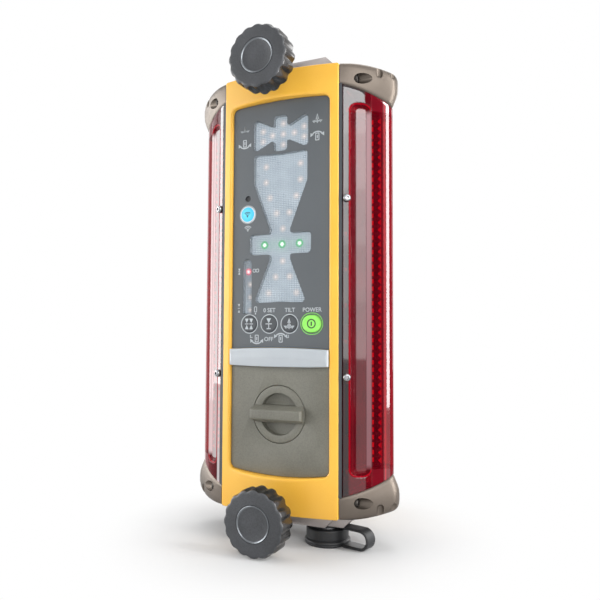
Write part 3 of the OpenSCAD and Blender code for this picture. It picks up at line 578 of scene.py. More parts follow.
class Finish:
    """Material with one shader, whose sockets take values or wires."""

    def __init__(self, name, colour, roughness, metallic=0.0):
        self.material = bpy.data.materials.new(name)
        self.material.use_nodes = True
        self.tree = self.material.node_tree
        self.shader = self.tree.nodes["Principled BSDF"]
        self.body = Wire(self.tree, self.shader.outputs["BSDF"])
        self.spot = self.node("ShaderNodeTexCoord", out="Object")
        self.set({"Base Color": colour, "Roughness": roughness, "Metallic": metallic})

    def node(self, kind, settings=(), values=(), out=0):
        return Wire.node(self.tree, kind, settings, values, out)

    def set(self, sockets):
        for key, value in sockets.items():
            feed(self.tree, self.shader.inputs[key], value)

    def surface(self, share, first, second):
        """Surface that goes from the first shader to the second with share."""
        both = self.node("ShaderNodeMixShader", {}, {"Fac": share, 1: first, 2: second})
        feed(self.tree, self.tree.nodes["Material Output"].inputs["Surface"], both)

    def noise(self, size, detail=2.0, rough=0.5):
        """Noise whose features are about size millimetres wide."""
        values = {"Vector": self.spot, "Scale": 1 / (size * MM), "Detail": detail, "Roughness": rough}
        return self.node("ShaderNodeTexNoise", {}, values)

    def bump(self, height, strength, depth=0.1):
        values = {"Height": height, "Strength": strength, "Distance": depth * MM}
        self.set({"Normal": self.node("ShaderNodeBump", {}, values)})

    def vector(self, operation, first, second=(0, 0, 0), out=0):
        return self.node("ShaderNodeVectorMath", {"operation": operation}, {0: first, 1: second}, out)

    def from_axis(self, x, z):
        """Distance in millimetres from a line along y through x and z."""
        flat = self.vector("MULTIPLY", self.vector("SUBTRACT", self.spot, place(x, 0, z)), (1, 0, 1))
        return self.vector("LENGTH", flat, out="Value") / MM

    def axes(self):
        parts = self.node("ShaderNodeSeparateXYZ", {}, {0: self.spot}).socket.node.outputs
        return [Wire(self.tree, part) for part in parts]


def moulded(name, colour, other, roughness, grain, size=0.6, coarse=30.0, metallic=0.0):
    """Moulded or painted surface: a slow drift between two colours, fine grain, uneven gloss."""
    finish = Finish(name, rgb(*colour), roughness, metallic)
    drift = finish.noise(coarse, 3.0).step(0.3, 0.7)
    fine = finish.noise(size, 4.0, 0.6)
    speck = fine.step(0.35, 0.7)
    finish.set({"Base Color": (0.55 * drift + 0.45 * speck).mix(rgb(*colour), rgb(*other)),
                "Roughness": roughness - 0.04 + 0.08 * fine})
    finish.bump(fine, grain)
    return finish


def rolled(name, colour, roughness):
    """Bare or plated metal with fine brushed lines and a cloudy gloss."""
    bright = rgb(*colour)
    dark = tuple(0.72 * c for c in bright[:3]) + (1.0,)
    finish = Finish(name, bright, roughness, 1.0)
    cloud = finish.noise(9.0, 3.0)
    line = finish.noise(0.5, 5.0, 0.7)
    finish.set({"Base Color": (0.6 * cloud + 0.4 * line).step(0.25, 0.75).mix(dark, bright),
                "Roughness": roughness + 0.14 * cloud - 0.05})
    finish.bump(line, 0.06)
    return finish


def slot_gap(wide, tall):
    """Distance in millimetres from the outline of the long recess, negative inside it."""
    qx = (wide - SLOT_MID).maths("ABSOLUTE") - SLOT_HALF + SLOT_R
    qz = tall - SLOT_H + SLOT_R
    round_x, round_z = qx.maths("MAXIMUM", 0.0), qz.maths("MAXIMUM", 0.0)
    corner = (round_x * round_x + round_z * round_z).maths("SQRT")
    return corner + qx.maths("MAXIMUM", qz).maths("MINIMUM", 0.0) - SLOT_R


def red_lens(name, colour, share, gloss):
    """Clear red plastic: dyes the light that goes through it, and shines where it is polished. It is darker
    over the frame beside the cover. Painted shade darkens the right window's flat above the recess. A
    painted red highlight runs along the lips of the recess, and painted reflections light its outer side
    and the left window's stripe and recess floor."""
    finish = Finish(name, rgb(*colour), gloss)
    wave = finish.noise(26.0, 2.0)
    red = wave.step(0.3, 0.7).mix(rgb(*colour), rgb(*(0.86 * c for c in colour)))

    # Where a point lies: across the window and up from its middle, and about the recess
    x, y, z = finish.axes()
    wide = x.maths("ABSOLUTE") / MM
    tall = (z / MM - STAND_Z).maths("ABSOLUTE")
    left = (1 - x.step(-0.001, 0.001)) * (1 - y.step(-0.02, -0.014))
    low, ends = 1 - z.step(0.1, 0.13), tall.step(126.0, 127.5)
    gap = slot_gap(wide, tall)
    flat, rim = gap.step(0.0, 0.3), gap.band(-3.7, 0.1, 0.25)
    # bed marks the left window's recess floor, which takes a painted white reflection
    bed = left * (1 - gap.step(-3.9, -3.5))
    outer = wide.step(60.5, 63.5) * (1 - tall.step(123, 128))

    # Painted red highlight along the lips and near the nose, and a painted reflection on the outer side of
    # the recess, white on the left window and lighter higher up
    lip = 0.9 * gap.band(-1.0, -0.1, 0.25) * (1 - outer) + 0.8 * wide.band(74.1, 74.9, 0.3)
    pale = left.mix(z.step(0.06, 0.3).mix(rgb(146, 106, 114), rgb(214, 184, 190)), rgb(255, 250, 250))
    glow = (rim * outer).mix(lip.mix(BLACKEST, rgb(190, 0, 26)), pale)
    # Painted white reflection: a stripe low on the left window beside the cover, and the left window's
    # recess floor
    painted_reflection = left * low * wide.band(50.0, 53.0, 0.2) + bed * (0.3 + 0.5 * low)

    # Frame that shows dark behind the flat beside the cover, painted shade on the right window's flat above
    # the recess, a darker base under the left window's painted floor reflection, and the places with no
    # polish
    inside = left.maths("MAXIMUM", low) * wide.step(53.0, 53.4)
    shown = (1 - flat * (1 - wide.step(62.5, 63.5)) * (1 - inside)) * (1 - 0.8 * bed)
    front_edge, comb, nose = 1 - wide.step(49.6, 50.0), wide.band(67.0, 73.6, 0.4), wide.step(76.8, 77.2)
    beside = flat * wide.band(63.4, 66.9, 0.3) + flat * left * wide.band(53.3, 63.4, 0.3)
    dull = front_edge + rim * (1 - outer) + comb + nose + beside

    # Base colour holds the painted shade; emission holds the painted highlights and reflections
    finish.set({"Roughness": gloss + 0.05 * wave, "Base Color": shown.mix(rgb(20, 2, 6), red),
                "Specular IOR Level": 0.1, "Emission Color": painted_reflection.mix(glow, rgb(246, 240, 240)),
                "Emission Strength": 1.0, "Coat Roughness": 0.04, "Coat IOR": 1.9,
                "Coat Weight": (1 - dull).maths("MAXIMUM", 0.0)})
    finish.bump(wave, 0.03, 0.4)
    clear = finish.node("ShaderNodeBsdfTransparent", {}, {"Color": rgb(238, 70, 90)})
    seen = share * (1 - 0.4 * wide.band(66.4, 71.5, 0.4))
    finish.surface(seen + ends * wide.step(66, 67) * (0.92 - seen), clear, finish.body)
    return finish


def diffuser():
    """Milky window with a fine square mesh, which lets its back show."""
    finish = Finish("milky_diffuser", rgb(176, 188, 200), 0.3)
    across, _, up = finish.axes()
    pitch = 1.35 * MM
    lines = [(q * (2 * math.pi / pitch)).maths("SINE").step(0.1, 0.9) for q in (across, up)]
    grid = lines[0].maths("MAXIMUM", lines[1])
    cloud = finish.noise(16.0, 2.0).step(0.3, 0.7)
    ground = cloud.mix(rgb(164, 175, 184), rgb(176, 186, 194))
    finish.set({"Base Color": (grid * 0.6).mix(ground, rgb(130, 141, 152)), "Alpha": 0.32 + 0.15 * grid,
                "Roughness": 0.26 + 0.12 * cloud})
    finish.bump(grid, 0.15, 0.08)
    return finish


def glow_back():
    """Pale back of the windows, with a painted glow over all of it, and soft spots where the indicators
    are.
    """
    finish = Finish("glow_back", rgb(170, 182, 195), 0.5)
    fine = finish.noise(0.9, 3.0)
    cloud = finish.noise(12.0, 3.0).step(0.3, 0.7)
    ground = cloud.mix(rgb(156, 167, 176), rgb(172, 182, 190))
    spot = finish.node("ShaderNodeAttribute", {"attribute_name": "spot"}, out="Fac")
    hue = finish.node("ShaderNodeAttribute", {"attribute_name": "hue"}, out="Color")
    seen = spot.mix(ground, hue)
    # Emission repeats the colour over the whole back: painted glow
    finish.set({"Base Color": seen, "Emission Color": seen, "Emission Strength": 0.6,
                "Roughness": 0.4 + 0.15 * fine})
    finish.bump(fine, 0.1)
    return finish


def lamp_dome():
    """Blue lamp with a lighter middle and a pale rim."""
    finish = Finish("blue_lamp", rgb(84, 206, 240), 0.22)
    r = finish.from_axis(STRIP_X, LAMP_Z)
    cloud = finish.noise(5.0, 2.0)
    inner = (r / LAMP_R + 0.2 * cloud).step(0.2, 1.1).mix(rgb(104, 220, 250), rgb(62, 186, 226))
    rim = r.step(5.45, 5.6)
    finish.set({"Base Color": rim.mix(inner, rgb(226, 232, 236)), "Roughness": 0.2 + 0.1 * cloud,
                "Emission Color": rim.mix(rgb(34, 90, 110), BLACKEST), "Emission Strength": 1.0})
    finish.bump(cloud, 0.05)
    return finish


def power_key():
    """Green key that glows a little."""
    finish = Finish("green_key", rgb(160, 245, 110), 0.3)
    cloud = finish.noise(4.0, 3.0)
    finish.set({"Base Color": cloud.step(0.3, 0.7).mix(rgb(138, 226, 90), rgb(156, 234, 110)),
                "Roughness": 0.26 + 0.12 * cloud,
                "Emission Color": rgb(44, 84, 30), "Emission Strength": 1.0})
    finish.bump(finish.noise(0.5, 3.0), 0.06)
    return finish


def painted_glow_tooth():
    """Red of the comb's teeth, with a painted glow that stands in for the light they catch."""
    finish = moulded("tooth_red", (240, 50, 80), (220, 30, 60), 0.3, 0.05, 0.6, 5.0)
    finish.set({"Emission Color": rgb(240, 110, 150), "Emission Strength": 0.75})
    return finish


YELLOW = moulded("yellow_cover", (250, 195, 76), (246, 184, 64), 0.36, 0.05, 0.5, 40.0)
CHARCOAL = moulded("charcoal_grip", (72, 74, 78), (46, 48, 51), 0.5, 0.35, 0.8)
FLUTES = moulded("glossy_flutes", (92, 91, 91), (74, 73, 73), 0.24, 0.04, 0.5, 30.0, 0.85)
BEAD = rolled("bright_bead", (124, 128, 132), 0.28)
BUMPER = moulded("bumper_paint", (109, 100, 92), (96, 88, 80), 0.42, 0.08, 0.35, 25.0, 0.8)
PANEL = moulded("panel_film", (92, 97, 101), (85, 90, 94), 0.42, 0.12, 0.4, 60.0)
DOOR = moulded("door_texture", (124, 123, 113), (102, 101, 92), 0.5, 0.5, 0.9, 45.0)
RUBBER = moulded("black_rubber", (38, 39, 41), (28, 29, 31), 0.46, 0.2, 0.7)
BLACK = moulded("black_moulding", (30, 31, 33), (22, 23, 25), 0.5, 0.2, 0.6)
KEY = moulded("key_rubber", (70, 74, 78), (62, 66, 70), 0.42, 0.1, 0.4)
CASTING = moulded("bare_casting", (176, 169, 167), (154, 148, 146), 0.4, 0.14, 0.5, 12.0, 0.8)
JAW = moulded("jaw_coating", (120, 122, 124), (104, 106, 108), 0.42, 0.15, 0.5, 14.0, 0.6)
BAR = moulded("silver_bar", (189, 195, 200), (180, 187, 193), 0.38, 0.08, 0.4, 30.0)
BOARD = moulded("board_lacquer", (24, 84, 46), (16, 66, 36), 0.32, 0.1, 1.2, 9.0)
COMB = moulded("comb_red", (120, 6, 18), (78, 2, 10), 0.35, 0.1, 0.8, 6.0)
STEEL = rolled("plated_steel", (212, 212, 214), 0.24)
DARK_STEEL = rolled("blackened_steel", (66, 63, 60), 0.44)
CHROME = rolled("bright_chrome", (158, 158, 161), 0.16)
PLATE = rolled("nickel_plate", (206, 198, 182), 0.3)
JACKET = moulded("cell_jacket", (196, 142, 66), (180, 126, 54), 0.28, 0.03, 0.8, 15.0, 0.5)
LENS = red_lens("red_lens", (112, 0, 20), 0.6, 0.05)
LENS_BACK = red_lens("red_lens_back", (120, 0, 20), 0.08, 0.3)
MILK = diffuser()
GLOW = glow_back()
LAMP = lamp_dome()
GREEN_KEY = power_key()
INK = moulded("pale_ink", (196, 202, 206), (180, 187, 192), 0.4, 0.05, 0.3, 8.0)
DARK_INK = moulded("dark_ink", (44, 52, 46), (36, 42, 38), 0.4, 0.05, 0.3, 8.0)
GREEN_INK = moulded("green_ink", (140, 226, 96), (126, 210, 84), 0.4, 0.05, 0.3, 8.0)
AMBER = moulded("amber_lens", (236, 170, 120), (220, 150, 96), 0.25, 0.04, 0.6, 4.0)
GREEN_LED = moulded("green_lens", (120, 226, 130), (96, 206, 108), 0.25, 0.04, 0.6, 4.0)
TOOTH = painted_glow_tooth()

SLOT_FINISHES = {
    "yellow_housing": YELLOW, "bare_casting": CASTING, "red_lens": LENS, "bumper_paint": BUMPER,
    "black_rubber": RUBBER, "steel_screws": STEEL, "dark_screws": DARK_STEEL, "green_board": BOARD,
    "red_comb": COMB, "grey_panel": PANEL, "diffuser": MILK, "amber_leds": AMBER, "green_leds": GREEN_LED,
    "black_plastic": BLACK, "blue_lamp": LAMP, "silver_bar": BAR, "grey_keys": KEY, "green_key": GREEN_KEY,
    "grey_door": DOOR, "dark_knob": CHARCOAL, "cell_jacket": JACKET, "plated_contacts": PLATE,
    "grey_jaw": JAW,
}
for part in frame["record"]["subparts"]:
    dress(frame["nodes"][part["node"]].data, SLOT_FINISHES[part["material_slot"]])


# Camera, floor and light


def camera():
    turn, rise, roll = math.radians(24.88), math.radians(-3.18), math.radians(0.26)
    back = Vector((math.sin(turn) * math.cos(rise), -math.cos(turn) * math.cos(rise), math.sin(rise)))
    right = Vector((math.cos(turn), math.sin(turn), 0))
    up = back.cross(right)
    right, up = (math.cos(roll) * right + math.sin(roll) * up, math.cos(roll) * up - math.sin(roll) * right)
    lens = bpy.data.cameras.new("camera")
    lens.sensor_width = 36
    lens.lens = 38.83
    lens.clip_start = 0.01
    eye = linked("camera", lens)
    turned = Matrix((right, up, back)).transposed().to_4x4()
    eye.matrix_world = Matrix.Translation(place(212.61, -416.24, -34.37)) @ turned
    bpy.context.scene.camera = eye


def plainly_seen(tree):
    """1 for rays that show the background itself: seen straight, in a shine or through something clear."""
    path = Wire.node(tree, "ShaderNodeLightPath").socket.node.outputs
    seen = Wire(tree, path["Is Camera Ray"]) + Wire(tree, path["Is Glossy Ray"])
    return (seen + Wire(tree, path["Is Transmission Ray"])).maths("MINIMUM", 1.0)


def floor():
    """Pale plate that keeps the shadow near the object, where it is a darker grey as painted shade, and is
    white further out.
    """
    half = 6.0
    mesh = bpy.data.meshes.new("floor")
    corners = [(-half, -half, 0), (half, -half, 0), (half, half, 0), (-half, half, 0)]
    mesh.from_pydata(corners, [], [(0, 1, 2, 3)])
    finish = Finish("floor", (0.63, 0.63, 0.63, 1), 0.9)
    finish.set({"Specular IOR Level": 0.0})
    far = finish.vector("LENGTH", finish.spot, out="Value")
    glow = finish.node("ShaderNodeEmission", {}, {"Color": WHITE, "Strength": 1.0})
    finish.surface(plainly_seen(finish.tree) * far.step(0.05, 0.16), finish.body, glow)
    dress(mesh, finish)
    linked("floor", mesh)


def softbox(name, where, target, width, height, power):
    lamp = bpy.data.lights.new(name, "AREA")
    lamp.shape = "RECTANGLE"
    lamp.size, lamp.size_y = width, height
    lamp.energy = power
    box = linked(name, lamp)
    box.location = where
    box.rotation_euler = (Vector(target) - Vector(where)).to_track_quat("-Z", "Y").to_euler()


def studio():
    """Boxes stand round the object at a bearing from its front, a distance and a height."""
    boxes = [("strip_right", 88, 0.8, 0.44, 0.25, 0.84, 8.0), ("left", -58, 0.95, 0.34, 0.75, 0.66, 6.0),
             ("far_left", -86, 0.9, 0.4, 0.17, 0.7, 2.8), ("side_left", -102, 0.9, 0.4, 0.24, 0.7, 1.5),
             ("rear_left", -155, 1.1, 0.5, 0.4, 0.6, 2.4), ("rear_right", 150, 1.1, 0.42, 0.45, 0.7, 4.5)]
    for i, power in enumerate((0.34, 0.42, 0.55, 0.7, 0.85, 0.95)):
        boxes.append((f"right_{i + 1}", 41, 0.85, 0.16 + 0.11 * i, 0.4, 0.11, power))
    for name, bearing, away, height, width, tall, power in boxes:
        a = math.radians(bearing)
        x, y = away * math.sin(a), -away * math.cos(a)
        softbox(name + "_box", (x, y, height), (0, 0, height), width, tall, power)
    softbox("top_box", (0.0, 0.15, 1.2), (0, 0, 0.2), 0.7, 0.7, 5.2)
    world = bpy.data.worlds.new("studio")
    world.use_nodes = True
    tree = world.node_tree
    back = tree.nodes["Background"]
    feed(tree, back.inputs["Strength"], 0.26 + 0.74 * plainly_seen(tree))
    feed(tree, back.inputs["Color"], WHITE)
    bpy.context.scene.world = world
    bpy.context.scene.view_settings.view_transform = "Standard"


camera()
floor()
studio()


# Front cover: a bowed frame with a round lip about the panel


def cover_outline():
    """Outer edge of the cover, with a round notch above and below for the knobs' hubs."""
    r, notch = 1.5, 10.0
    half = HALF_W - 0.3
    x, z = half - r, HALF_H - r
    gap = math.sqrt(notch ** 2 - (HALF_H - SPINDLE_Z) ** 2)
    lean = math.degrees(math.asin((HALF_H - SPINDLE_Z) / notch))
    third = EDGE_STEPS // 3
    sides = spread(-z, z, SIDE_STEPS)[1:-1]
    low = [(t, -HALF_H) for t in spread(-x, -gap, third)][:-1]
    low += arc(0, -SPINDLE_Z, notch, 180 + lean, -lean, third)
    low += [(t, -HALF_H) for t in spread(gap, x, third)][1:]
    points = low + arc(x, -z, r, -90, 0, 6)
    points += [(half, t) for t in sides] + arc(x, z, r, 0, 90, 6)
    points += [(-a, -b) for a, b in low] + arc(-x, z, r, 90, 180, 6)
    points += [(-half, t) for t in reversed(sides)] + arc(-x, -z, r, 180, 270, 6)
    return points


def front_cover():
    lip, edge, wall_t = 1.7, 0.5, 2.2
    recess = arched(PANEL_W, PANEL_BOTTOM, PANEL_TOP, BOTTOM_ARCH, TOP_ARCH, CORNER_R, CORNER_R)
    opening = arched(2 * BAY_X, BAY_BOTTOM, PANEL_TOP - 3, 0, TOP_ARCH, 1, CORNER_R - 2)
    outer = cover_outline()
    inside, wall = grown(outer, -COVER_T), grown(recess, wall_t)
    back = [RETURN_Y if abs(x) > CLAMP_HALF or abs(z) < CLAMP_Z else CLAMP_RETURN_Y for x, z in outer]
    turns = spread(0, math.pi / 2, 5)
    rings = [on_bow(grown(recess, lip * (1 - math.cos(a))), lip * (1 - math.sin(a))) for a in turns]
    across = list(zip(grown(recess, lip), grown(outer, -edge)))
    for t in spread(0, 1, 6)[1:]:
        rings.append(on_bow([(a + (c - a) * t, b + (d - b) * t) for (a, b), (c, d) in across]))
    rings += [on_bow(grown(outer, -edge * (1 - math.sin(a))), edge * (1 - math.cos(a))) for a in turns[1:]]
    rings += [[(x, y, z) for (x, z), y in zip(line, back)] for line in (outer, inside)]
    rings += [on_bow(inside, COVER_T), on_bow(wall, COVER_T), at(LEDGE_BACK, wall),
              at(LEDGE_BACK, opening), at(LEDGE_Y, opening), at(LEDGE_Y, recess)]
    sheet = Sheet()
    sheet.loft(rings + rings[:1])
    sheet.block(-PANEL_W / 2, PANEL_W / 2, LEDGE_Y, LEDGE_BACK, BAR_BOTTOM - 3, BAR_TOP + 3)
    stand_for(sheet.piece("front_cover", YELLOW), "receiver", "yellow_housing", "front_housing")


# Windows: one skin with its long recess, and an inner skin a wall behind it


def face_line():
    """Plan of a window from its front edge round the nose to mid depth, with inward normals and the
    distance along the face from the middle of the recess."""
    c, q = face_centre()
    slot = math.asin((SLOT_X - c.x) / FACE_R)
    a0 = math.asin((WINDOW_X - c.x) / FACE_R)
    a1 = math.atan2(q.y - c.y, q.x - c.x) + math.pi / 2
    edge, beyond = SLOT_W / 2, 99.0
    steps = [s * (edge - d) for s in (-1, 1) for d in spread(-1.0, 3.8, 20)]
    steps += spread((a0 - slot) * FACE_R, -edge - 1.3, 4)
    steps += spread(-edge + 4.2, edge - 4.2, 6)
    steps += spread(edge + 1.3, (a1 - slot) * FACE_R, 8)
    line = []
    for s in sorted(steps):
        a = slot + s / FACE_R
        inward = Vector((-math.sin(a), math.cos(a)))
        line.append((c - FACE_R * inward, inward, s))
    for point in arc(q.x, q.y, NOSE_R, math.degrees(a1) - 90, 0, 8)[1:]:
        point = Vector(point)
        line.append((point, (q - point).normalized(), beyond))
    return line


def slot_depth(s, z):
    """Depth of the long recess at a place on the face, with a flat floor and wide round sides."""
    qx, qz = abs(s) - SLOT_W / 2 + SLOT_R, abs(z) - SLOT_H + SLOT_R
    gap = math.hypot(max(qx, 0), max(qz, 0)) + min(max(qx, qz), 0) - SLOT_R
    t = min(1.0, max(0.0, (0.7 - gap) / 4.2))
    return (SLOT_D - s * s / (2 * FACE_R)) * t * t * (3 - 2 * t)


def side_window(name, side):
    line = face_line()
    plan = [(*p, 1) for p in line] + [(*p, -1) for p in reversed(line[:-1])]
    soft_from, soft = 0.9935, 0.4
    rows = spread(0, 0.86, 10) + spread(0.88, 0.965, 26) + [0.98, soft_from, 0.997, 1.0]
    rows = [-v for v in reversed(rows[1:])] + rows
    sheet = Sheet()
    skins = []
    for wall in (0.0, WINDOW_T):
        grid = []
        for v in rows:
            edge = 0.0 if wall else soft * max(0.0, (abs(v) - soft_from) / (1 - soft_from)) ** 2
            ring = []
            for p, n, s, face in plan:
                z = v * (rim_z(p.y) - SEAM)
                d = wall + slot_depth(s, z) + edge
                x, y = p.x + n.x * d, p.y + n.y * d
                ring.append((side * x, y if face > 0 else BODY_D - y, z))
            grid.append(ring)
        skins.append(sheet.loft(grid, closed=False))
    outer, inner = skins
    for k in (0, -1):
        sheet.bridge(outer[k], inner[k], closed=False)
        sheet.bridge([r[k] for r in outer], [r[k] for r in inner], closed=False)
    piece = sheet.piece(name + "_lens", LENS, LENS_BACK, angle=50)
    half = len(rows) * len(plan)
    for face in piece.data.polygons:
        face.material_index = int(min(face.vertices) >= half)
    stand_for(piece, "receiver", "red_lens", name + "_window")


def gaskets():
    """Dark strips that fill the seam between cover and window, front and back."""
    near, far, deep = HALF_W - 0.25, WINDOW_X - 0.1, RETURN_Y - SEAM
    plan = ((near, BOW + 0.3), (far, WINDOW_Y + 0.15), (far, deep), (near, deep))
    sheet = Sheet()
    for side in (-1, 1):
        for back in (False, True):
            ends = [(side * x, BODY_D - y if back else y, rim_z(y) - SEAM) for x, y in plan]
            sheet.tube([[(x, y, -z) for x, y, z in ends], ends])
    stand_for(sheet.piece("seam_gaskets", KEY), "receiver", "black_rubber", "window_gaskets")


# Knobs: lobes round a disc with a round front edge and a ring about its insert


def knob(name, z0):
    per_lobe, dip = 14, 1.5
    n = LOBES * per_lobe
    front, rear = KNOB_Y, KNOB_Y + KNOB_T
    nose_r, tail_r, bore_r = 2.2, 1.2, 5.02

    def ring(y, r, share=0.0):
        """Ring of radius r whose dips have a share of their full depth."""
        points = []
        for i in range(n):
            a = 2 * math.pi * i / n
            k = r - share * dip * (0.5 - 0.5 * math.cos(2 * math.pi * i / per_lobe)) ** 1.6
            points.append((k * math.sin(a), y, z0 + k * math.cos(a)))
        return points

    rings = [ring(front + d, r) for d, r in ((2.0, 12.6), (0.4, 12.6), (0, 13.0), (0, 16.5))]
    for t in spread(0, 1, 6):
        a = t * math.pi / 2
        r = KNOB_R - 0.5 - nose_r * (1 - math.sin(a))
        rings.append(ring(front + nose_r * (1 - math.cos(a)), r, 0.35 + 0.4 * t))
    rings.append(ring(front + 3.2, KNOB_R, 1.0))
    for a in spread(0, math.pi / 2, 4):
        rings.append(ring(rear - tail_r * (1 - math.sin(a)), KNOB_R - tail_r * (1 - math.cos(a)), 1.0))
    hub = ((0, 9.6), (0.4, 9.0), (5.6, 9.0), (6.0, 8.6), (6.0, bore_r))
    rings += [ring(rear + d, r) for d, r in hub] + [ring(front + 4.0, bore_r)]
    sheet = Sheet()
    sheet.tube(rings)
    grip = sheet.piece(name + "_grip", CHARCOAL, FLUTES, angle=40)
    flutes_y = place(0, front + 1.2, 0).y
    for face in grip.data.polygons:
        face.material_index = int(abs(face.normal.y) < 0.75 and face.center.y > flutes_y)
    stand_for(grip, name, "dark_knob", name)

    profile = ((2.0, 12.5), (0.5, 12.5), (0.15, 12.35), (0, 12.05), (0.1, 11.75), (0.45, 11.5), (0.6, 11.2),
               (0.6, 6.0))
    sheet = Sheet()
    sheet.tube([ring(front + d, r) for d, r in profile])
    disc = sheet.piece(name + "_disc", CHARCOAL, BEAD, angle=40)
    for face in disc.data.polygons:
        x, z = face.center.x / MM, face.center.z / MM - STAND_Z - z0
        face.material_index = int(len(face.vertices) == 4 and 11.3 < math.hypot(x, z) < 12.45)
    stand_for(disc, name, "dark_knob", name.replace("knob", "insert"))


# Display: milky windows with spots of light, prints, lamp and keys


def arrow_outline():
    w, neck, low_w, bar, half = 22.0, 8.4, 21.4, 25.0, 7.6
    top, low = ARROW_TOP, ARROW_TOP - 111.6
    right = [(low_w, low), (neck, GRADE_Z - 12), (neck, GRADE_Z - half), (bar, GRADE_Z - half),
             (bar, GRADE_Z + half), (neck, GRADE_Z + half), (neck, top - 56.7), (w, top - 21.7), (w, top)]
    return rounded([(0, low + 1)] + right + [(0, top - 1)] + flipped(right), 2.8)


def tilt_outline():
    stem, neck, half, step = (5.4, 13.2), (7, 5.4), (22.4, 12.9), 6.1
    upper = [half, neck, (stem[0], step), stem]
    right = [(x, -z) for x, z in reversed(upper)] + upper
    return [(x, z + TILT_Z) for x, z in rounded(right + flipped(right), 2.6)]


def strip_outline():
    r = 3.5
    foot = [(STRIP_X - r, STRIP_BOTTOM), (STRIP_X + r, STRIP_BOTTOM)]
    return foot + arc(STRIP_X, STRIP_TOP - r, r, 0, 180, 14)


def indicators():
    """Each kind of light behind the display: its places, how far it reaches in millimetres, how steeply
    it fades, the share of its reach that its core takes, its tint and the colour of its core."""
    row, first, aside, strip_first = 11.9, 8.8, 0.8, STRIP_TOP - 8.9
    amber = []
    for i, x in enumerate((14.2, 14.2, 10.9, 5.2)):
        amber += [(s * x, ARROW_TOP - first - i * row) for s in (-1, 1)]
    amber += [(0, ARROW_TOP - first - 4 * row), (0, GRADE_Z - 12.6)]
    amber += [(s * 5.7 * i, GRADE_Z - 12.3 - i * row) for i in (1, 2) for s in (-1, 1)]
    amber += [(0, TILT_Z + d) for d in (-8, 0, 8)]
    amber += [(s * x, TILT_Z + d) for x, d in ((17, -3.8), (9.1, 0), (17, 3.8)) for s in (-1, 1)]
    amber += [(STRIP_X, strip_first - 9.7 * i) for i in (1, 2, 3)]
    amber = [(x + aside, z) for x, z in amber]
    green = [(x, GRADE_Z) for x in (-14.4, 0.2, 14.4)]
    red = [(STRIP_X - 1.0, strip_first)]
    return ((amber, 3.4, 1.0, 0.5, (0.7, 0.57, 0.51), (1.0, 0.87, 0.8)),
            (green, 3.7, 3.0, 0.5, (0.01, 0.42, 0.09), (2.4, 2.6, 2.4)),
            (red, 3.1, 3.0, 0.6, (1.0, 0.03, 0.08), (2.6, 1.9, 2.0)))


def paint_spots(mesh, kinds):
    """Gives each point of a mesh the share and the hue of the light that falls there."""
    spot = mesh.attributes.new("spot", "FLOAT", "POINT")
    hue = mesh.attributes.new("hue", "FLOAT_COLOR", "POINT")
    for i, v in enumerate(mesh.vertices):
        x, z = v.co.x / MM, v.co.z / MM - STAND_Z
        strip = abs(x - STRIP_X) < 5.5 and z < STRIP_TOP + 2
        fade = 0.2 + 0.6 * min(1.0, max(0.0, (z - STRIP_BOTTOM) / 40)) if strip else 0.0
        share, colour = fade, rgb(92, 98, 104)[:3]
        for places, reach, slope, core_share, tint, middle in kinds:
            near = min(math.hypot(x - a, z - b) for a, b in places) / reach
            if near < 1:
                core, part = max(0.0, 1 - near / core_share), min(1.0, slope * (1 - near))
                share = fade + (1 - fade) * part
                ground = colour if strip else tint
                colour = [g + (c + (m - c) * core - g) * part for g, c, m in zip(ground, tint, middle)]
        spot.data[i].value = share
        hue.data[i].color = (*colour, 1.0)


def display_windows():
    """Windows of one closed box each: milky front and sides, and a back whose points carry the spots."""
    kinds = indicators()
    front, back, edge = PANEL_Y - 0.4, PANEL_Y + 3.4, 0.6
    sheet = Sheet()
    for outline in (arrow_outline(), tilt_outline(), strip_outline()):
        sheet.loft([at(back, outline)] + edge_rings(outline, front, edge))
        sheet.face(grown(outline, -edge), [], front)
        dots = []
        for x, z in (q for kind in kinds for q in kind[0]):
            if within((x, z), outline, 0.0):
                dots.append((x, z))
                for k in range(7):
                    around = circle(x, z, 0.5 + 0.5 * k, 14 + 2 * k)
                    dots += [q for q in around if within(q, outline, 0.15)]
        sheet.face(outline, dots, back)
    piece = sheet.piece("display_windows", MILK, GLOW)
    back_y = place(0, back - 0.01, 0).y
    for face in piece.data.polygons:
        face.material_index = int(face.center.y > back_y)
    paint_spots(piece.data, kinds)
    stand_for(piece, "receiver", "diffuser", "display_window")


def power_sign(marks, x):
    marks.hoop(circle(x, KEY_Z, 3.4, 32), circle(x, KEY_Z, 2.6, 32))
    marks.bar(x, KEY_Z - 1.5, x, KEY_Z + 1.5, 0.9)


def sensitivity_sign(marks, x):
    for mid in (x - 1.9, x + 1.9):
        marks.arrow(mid, KEY_Z + 0.7, -90, 3.3, 3.2)
        marks.arrow(mid, KEY_Z - 0.7, 90, 3.3, 3.2)
        marks.bar(mid - 1.5, KEY_Z, mid + 1.5, KEY_Z, 0.6)


def zero_sign(marks, x):
    marks.arrow(x, KEY_Z + 0.5, -90, 3.6, 3.8)
    marks.bar(x - 2.6, KEY_Z, x + 2.6, KEY_Z, 0.7)
    marks.bar(x, KEY_Z, x, KEY_Z - 3.4, 0.7)
    marks.bar(x - 1.7, KEY_Z - 3.5, x + 1.7, KEY_Z - 3.5, 0.8)


def tilt_sign(marks, x):
    marks.arrow(x, KEY_Z + 4.2, 90, 3.6, 2.8)
    for s in (-1, 1):
        marks.arrow(x + 4.4 * s, KEY_Z - 1.4, 90 - 65 * s, 2.8, 2.6)
        marks.bar(x, KEY_Z - 3.0, x + 2.6 * s, KEY_Z - 2.2, 0.8)
    marks.area(circle(x, KEY_Z - 1.2, 1.4, 20))
    marks.bar(x, KEY_Z - 3.8, x, KEY_Z + 2, 0.7)


KEY_SIGNS = {"sensitivity_button": sensitivity_sign, "zero_button": zero_sign, "tilt_button": tilt_sign,
             "power_button": power_sign}


